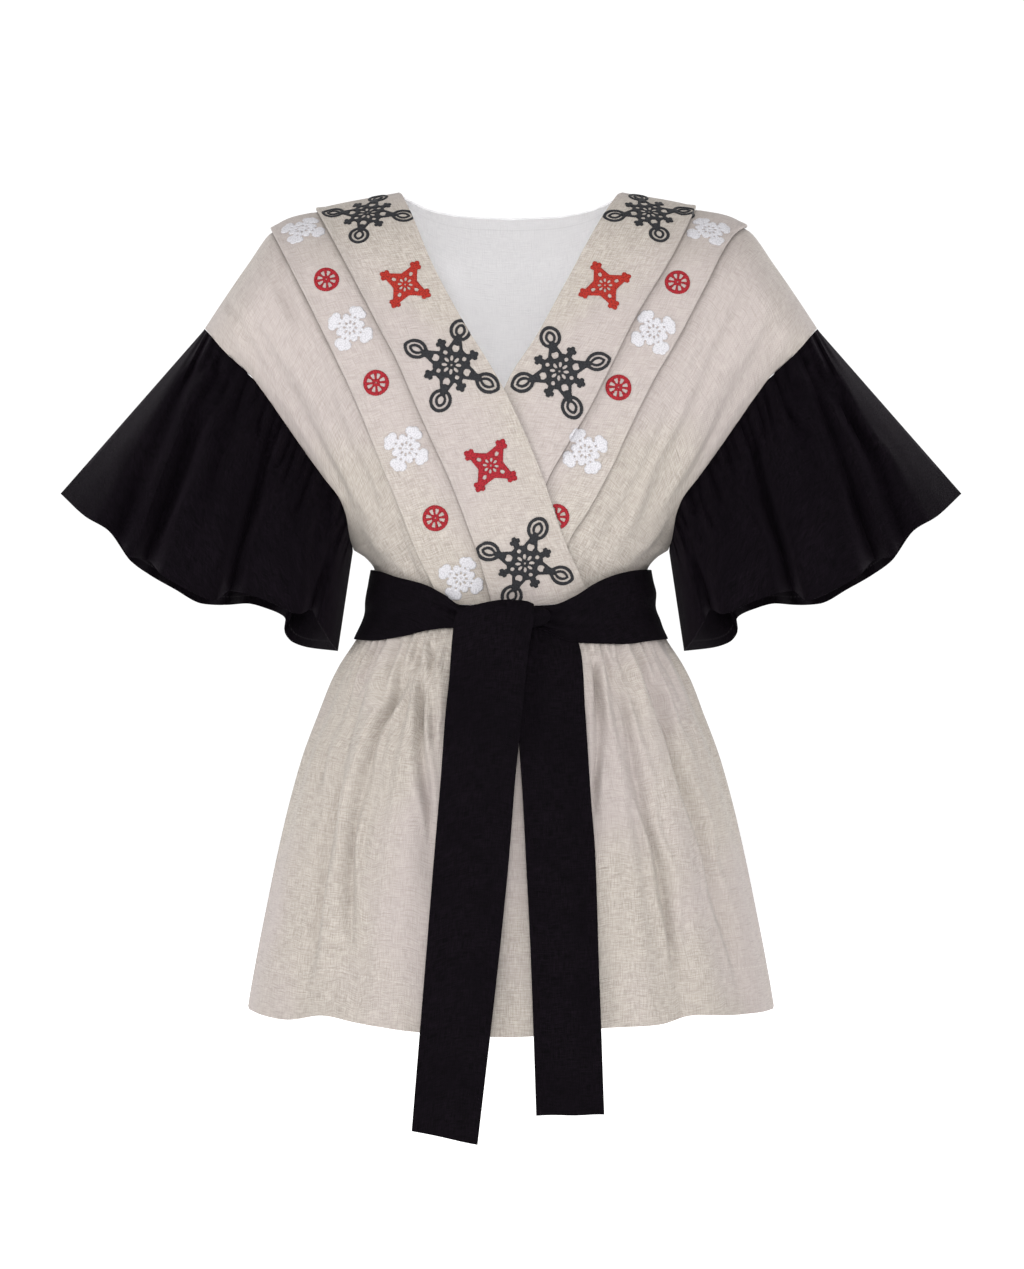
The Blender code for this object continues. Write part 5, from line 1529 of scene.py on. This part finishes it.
# thread, then for each piece its shape, reach, side, x, z, turn in degrees and size
LACES = (
    ("black", (
        (*CROSS, -1, -0.1409, -0.0271, -14, 0.94), (*CROSS, 1, 0.136, -0.0273, 16, 0.94),
        (*LEANING, -1, -0.0576, -0.1821, -26, 1.0), (*CROSS, 1, 0.0469, -0.1875, 15.5, 0.98),
        (*CROSS, -1, 0.0136, -0.3713, -20, 0.98),
    )),
    ("red", (
        (*STAR, -1, -0.103, -0.102, -26, 1.0), (*STAR, 1, 0.0913, -0.103, 22, 1.0),
    )),
    ("wine", (
        (*STAR, -1, -0.0193, -0.278, -27, 1.04),
        (*WHEEL, -1, -0.1801, -0.0964, 8, 0.98), (*WHEEL, -1, -0.1297, -0.1981, 5, 1.0),
        (*WHEEL, -1, -0.0725, -0.3278, 10, 1.0), (*WHEEL, 1, 0.1615, -0.0986, -8, 0.98),
        (*WHEEL, 1, 0.1044, -0.2022, -5, 1.0), (*WHEEL, 1, 0.0445, -0.328, 0, 1.0),
    )),
    ("white", (
        (*ROSETTE, -1, -0.2048, -0.0442, -24, 1.0), (*ROSETTE, -1, -0.1562, -0.1442, -24, 1.0),
        (*ROSETTE, -1, -0.1005, -0.2612, -26, 1.0), (*ROSETTE, -1, -0.0476, -0.3866, -24, 1.0),
        (*ROSETTE, 1, 0.1948, -0.0445, 24, 1.0), (*ROSETTE, 1, 0.1377, -0.1473, 25, 1.0),
        (*ROSETTE, 1, 0.0715, -0.2653, 26, 1.0),
    )),
)
laces = {-1: [], 1: []}
for word, items in LACES:
    for side, which in ((-1, "right"), (1, "left")):
        mine = [item for item in items if item[2] == side]
        laces[side].append(make_lace(f"lace_{word}_{which}", mine, fronts, threads[word]))

# Floor, light and camera

FLOOR_Z = -1.1
FLOOR_HALF = 9
# strength of the background as a light, and as the camera sees it
WORLD_LIGHT = 0.42
WORLD_SEEN = 1.05
floor_mesh = bpy.data.meshes.new("floor")
corners = [(x * FLOOR_HALF, y * FLOOR_HALF, FLOOR_Z) for x, y in ((-1, -1), (1, -1), (1, 1), (-1, 1))]
floor_mesh.from_pydata(corners, [], [(0, 1, 2, 3)])
floor = add_object("floor", floor_mesh)
pale = Nodes("floor_pale")
pale.shader.inputs["Base Color"].default_value = (0.93, 0.93, 0.93, 1.0)
pale.shader.inputs["Emission Color"].default_value = (1.0, 1.0, 1.0, 1.0)
pale.shader.inputs["Emission Strength"].default_value = 0.65
pale.shader.inputs["Roughness"].default_value = 0.95
floor_mesh.materials.append(pale.material)

bpy.context.scene.view_settings.view_transform = "Standard"
world = bpy.data.worlds.new("studio")
bpy.context.scene.world = world
world.use_nodes = True
background = world.node_tree.nodes["Background"]
background.inputs[0].default_value = (1.0, 1.0, 1.0, 1.0)
rays = world.node_tree.nodes.new("ShaderNodeLightPath")
strength = world.node_tree.nodes.new("ShaderNodeMapRange")
strength.inputs[3].default_value = WORLD_LIGHT
strength.inputs[4].default_value = WORLD_SEEN
world.node_tree.links.new(rays.outputs["Is Camera Ray"], strength.inputs[0])
world.node_tree.links.new(strength.outputs[0], background.inputs[1])


# name, place, height that it aims at, width and height, watts
LIGHTS = (
    ("side_left", (-2.6, -1.7, 0.35), -0.42, (0.9, 1.6), 33),
    ("side_right", (2.6, -1.7, 0.35), -0.42, (0.9, 1.6), 22),
    ("top", (0.0, -1.2, 2.0), -0.35, (1.8, 1.0), 13),
    ("back_left", (2.4, 2.6, 0.7), -0.42, (1.4, 1.8), 46),
    ("back_right", (-2.4, 2.6, 0.7), -0.42, (1.4, 1.8), 40),
    ("front", (0.0, -3.3, 0.45), -0.2, (1.2, 1.2), 50),
)
for name, place, target, size, power in LIGHTS:
    data = bpy.data.lights.new(name, "AREA")
    data.shape = "RECTANGLE"
    data.size, data.size_y = size
    data.energy = power
    light = add_object(name, data)
    light.location = place
    light.rotation_euler = (Vector((0, 0, target)) - Vector(place)).to_track_quat("-Z", "Y").to_euler()

camera_data = bpy.data.cameras.new("camera")
camera_data.sensor_fit = "AUTO"
camera_data.sensor_width = 36.0
camera_data.lens = 99.3
camera = add_object("camera", camera_data)
camera.location = (0.001, -3.5, -0.4415)
camera.rotation_euler = (math.radians(90), 0, 0)
bpy.context.scene.camera = camera
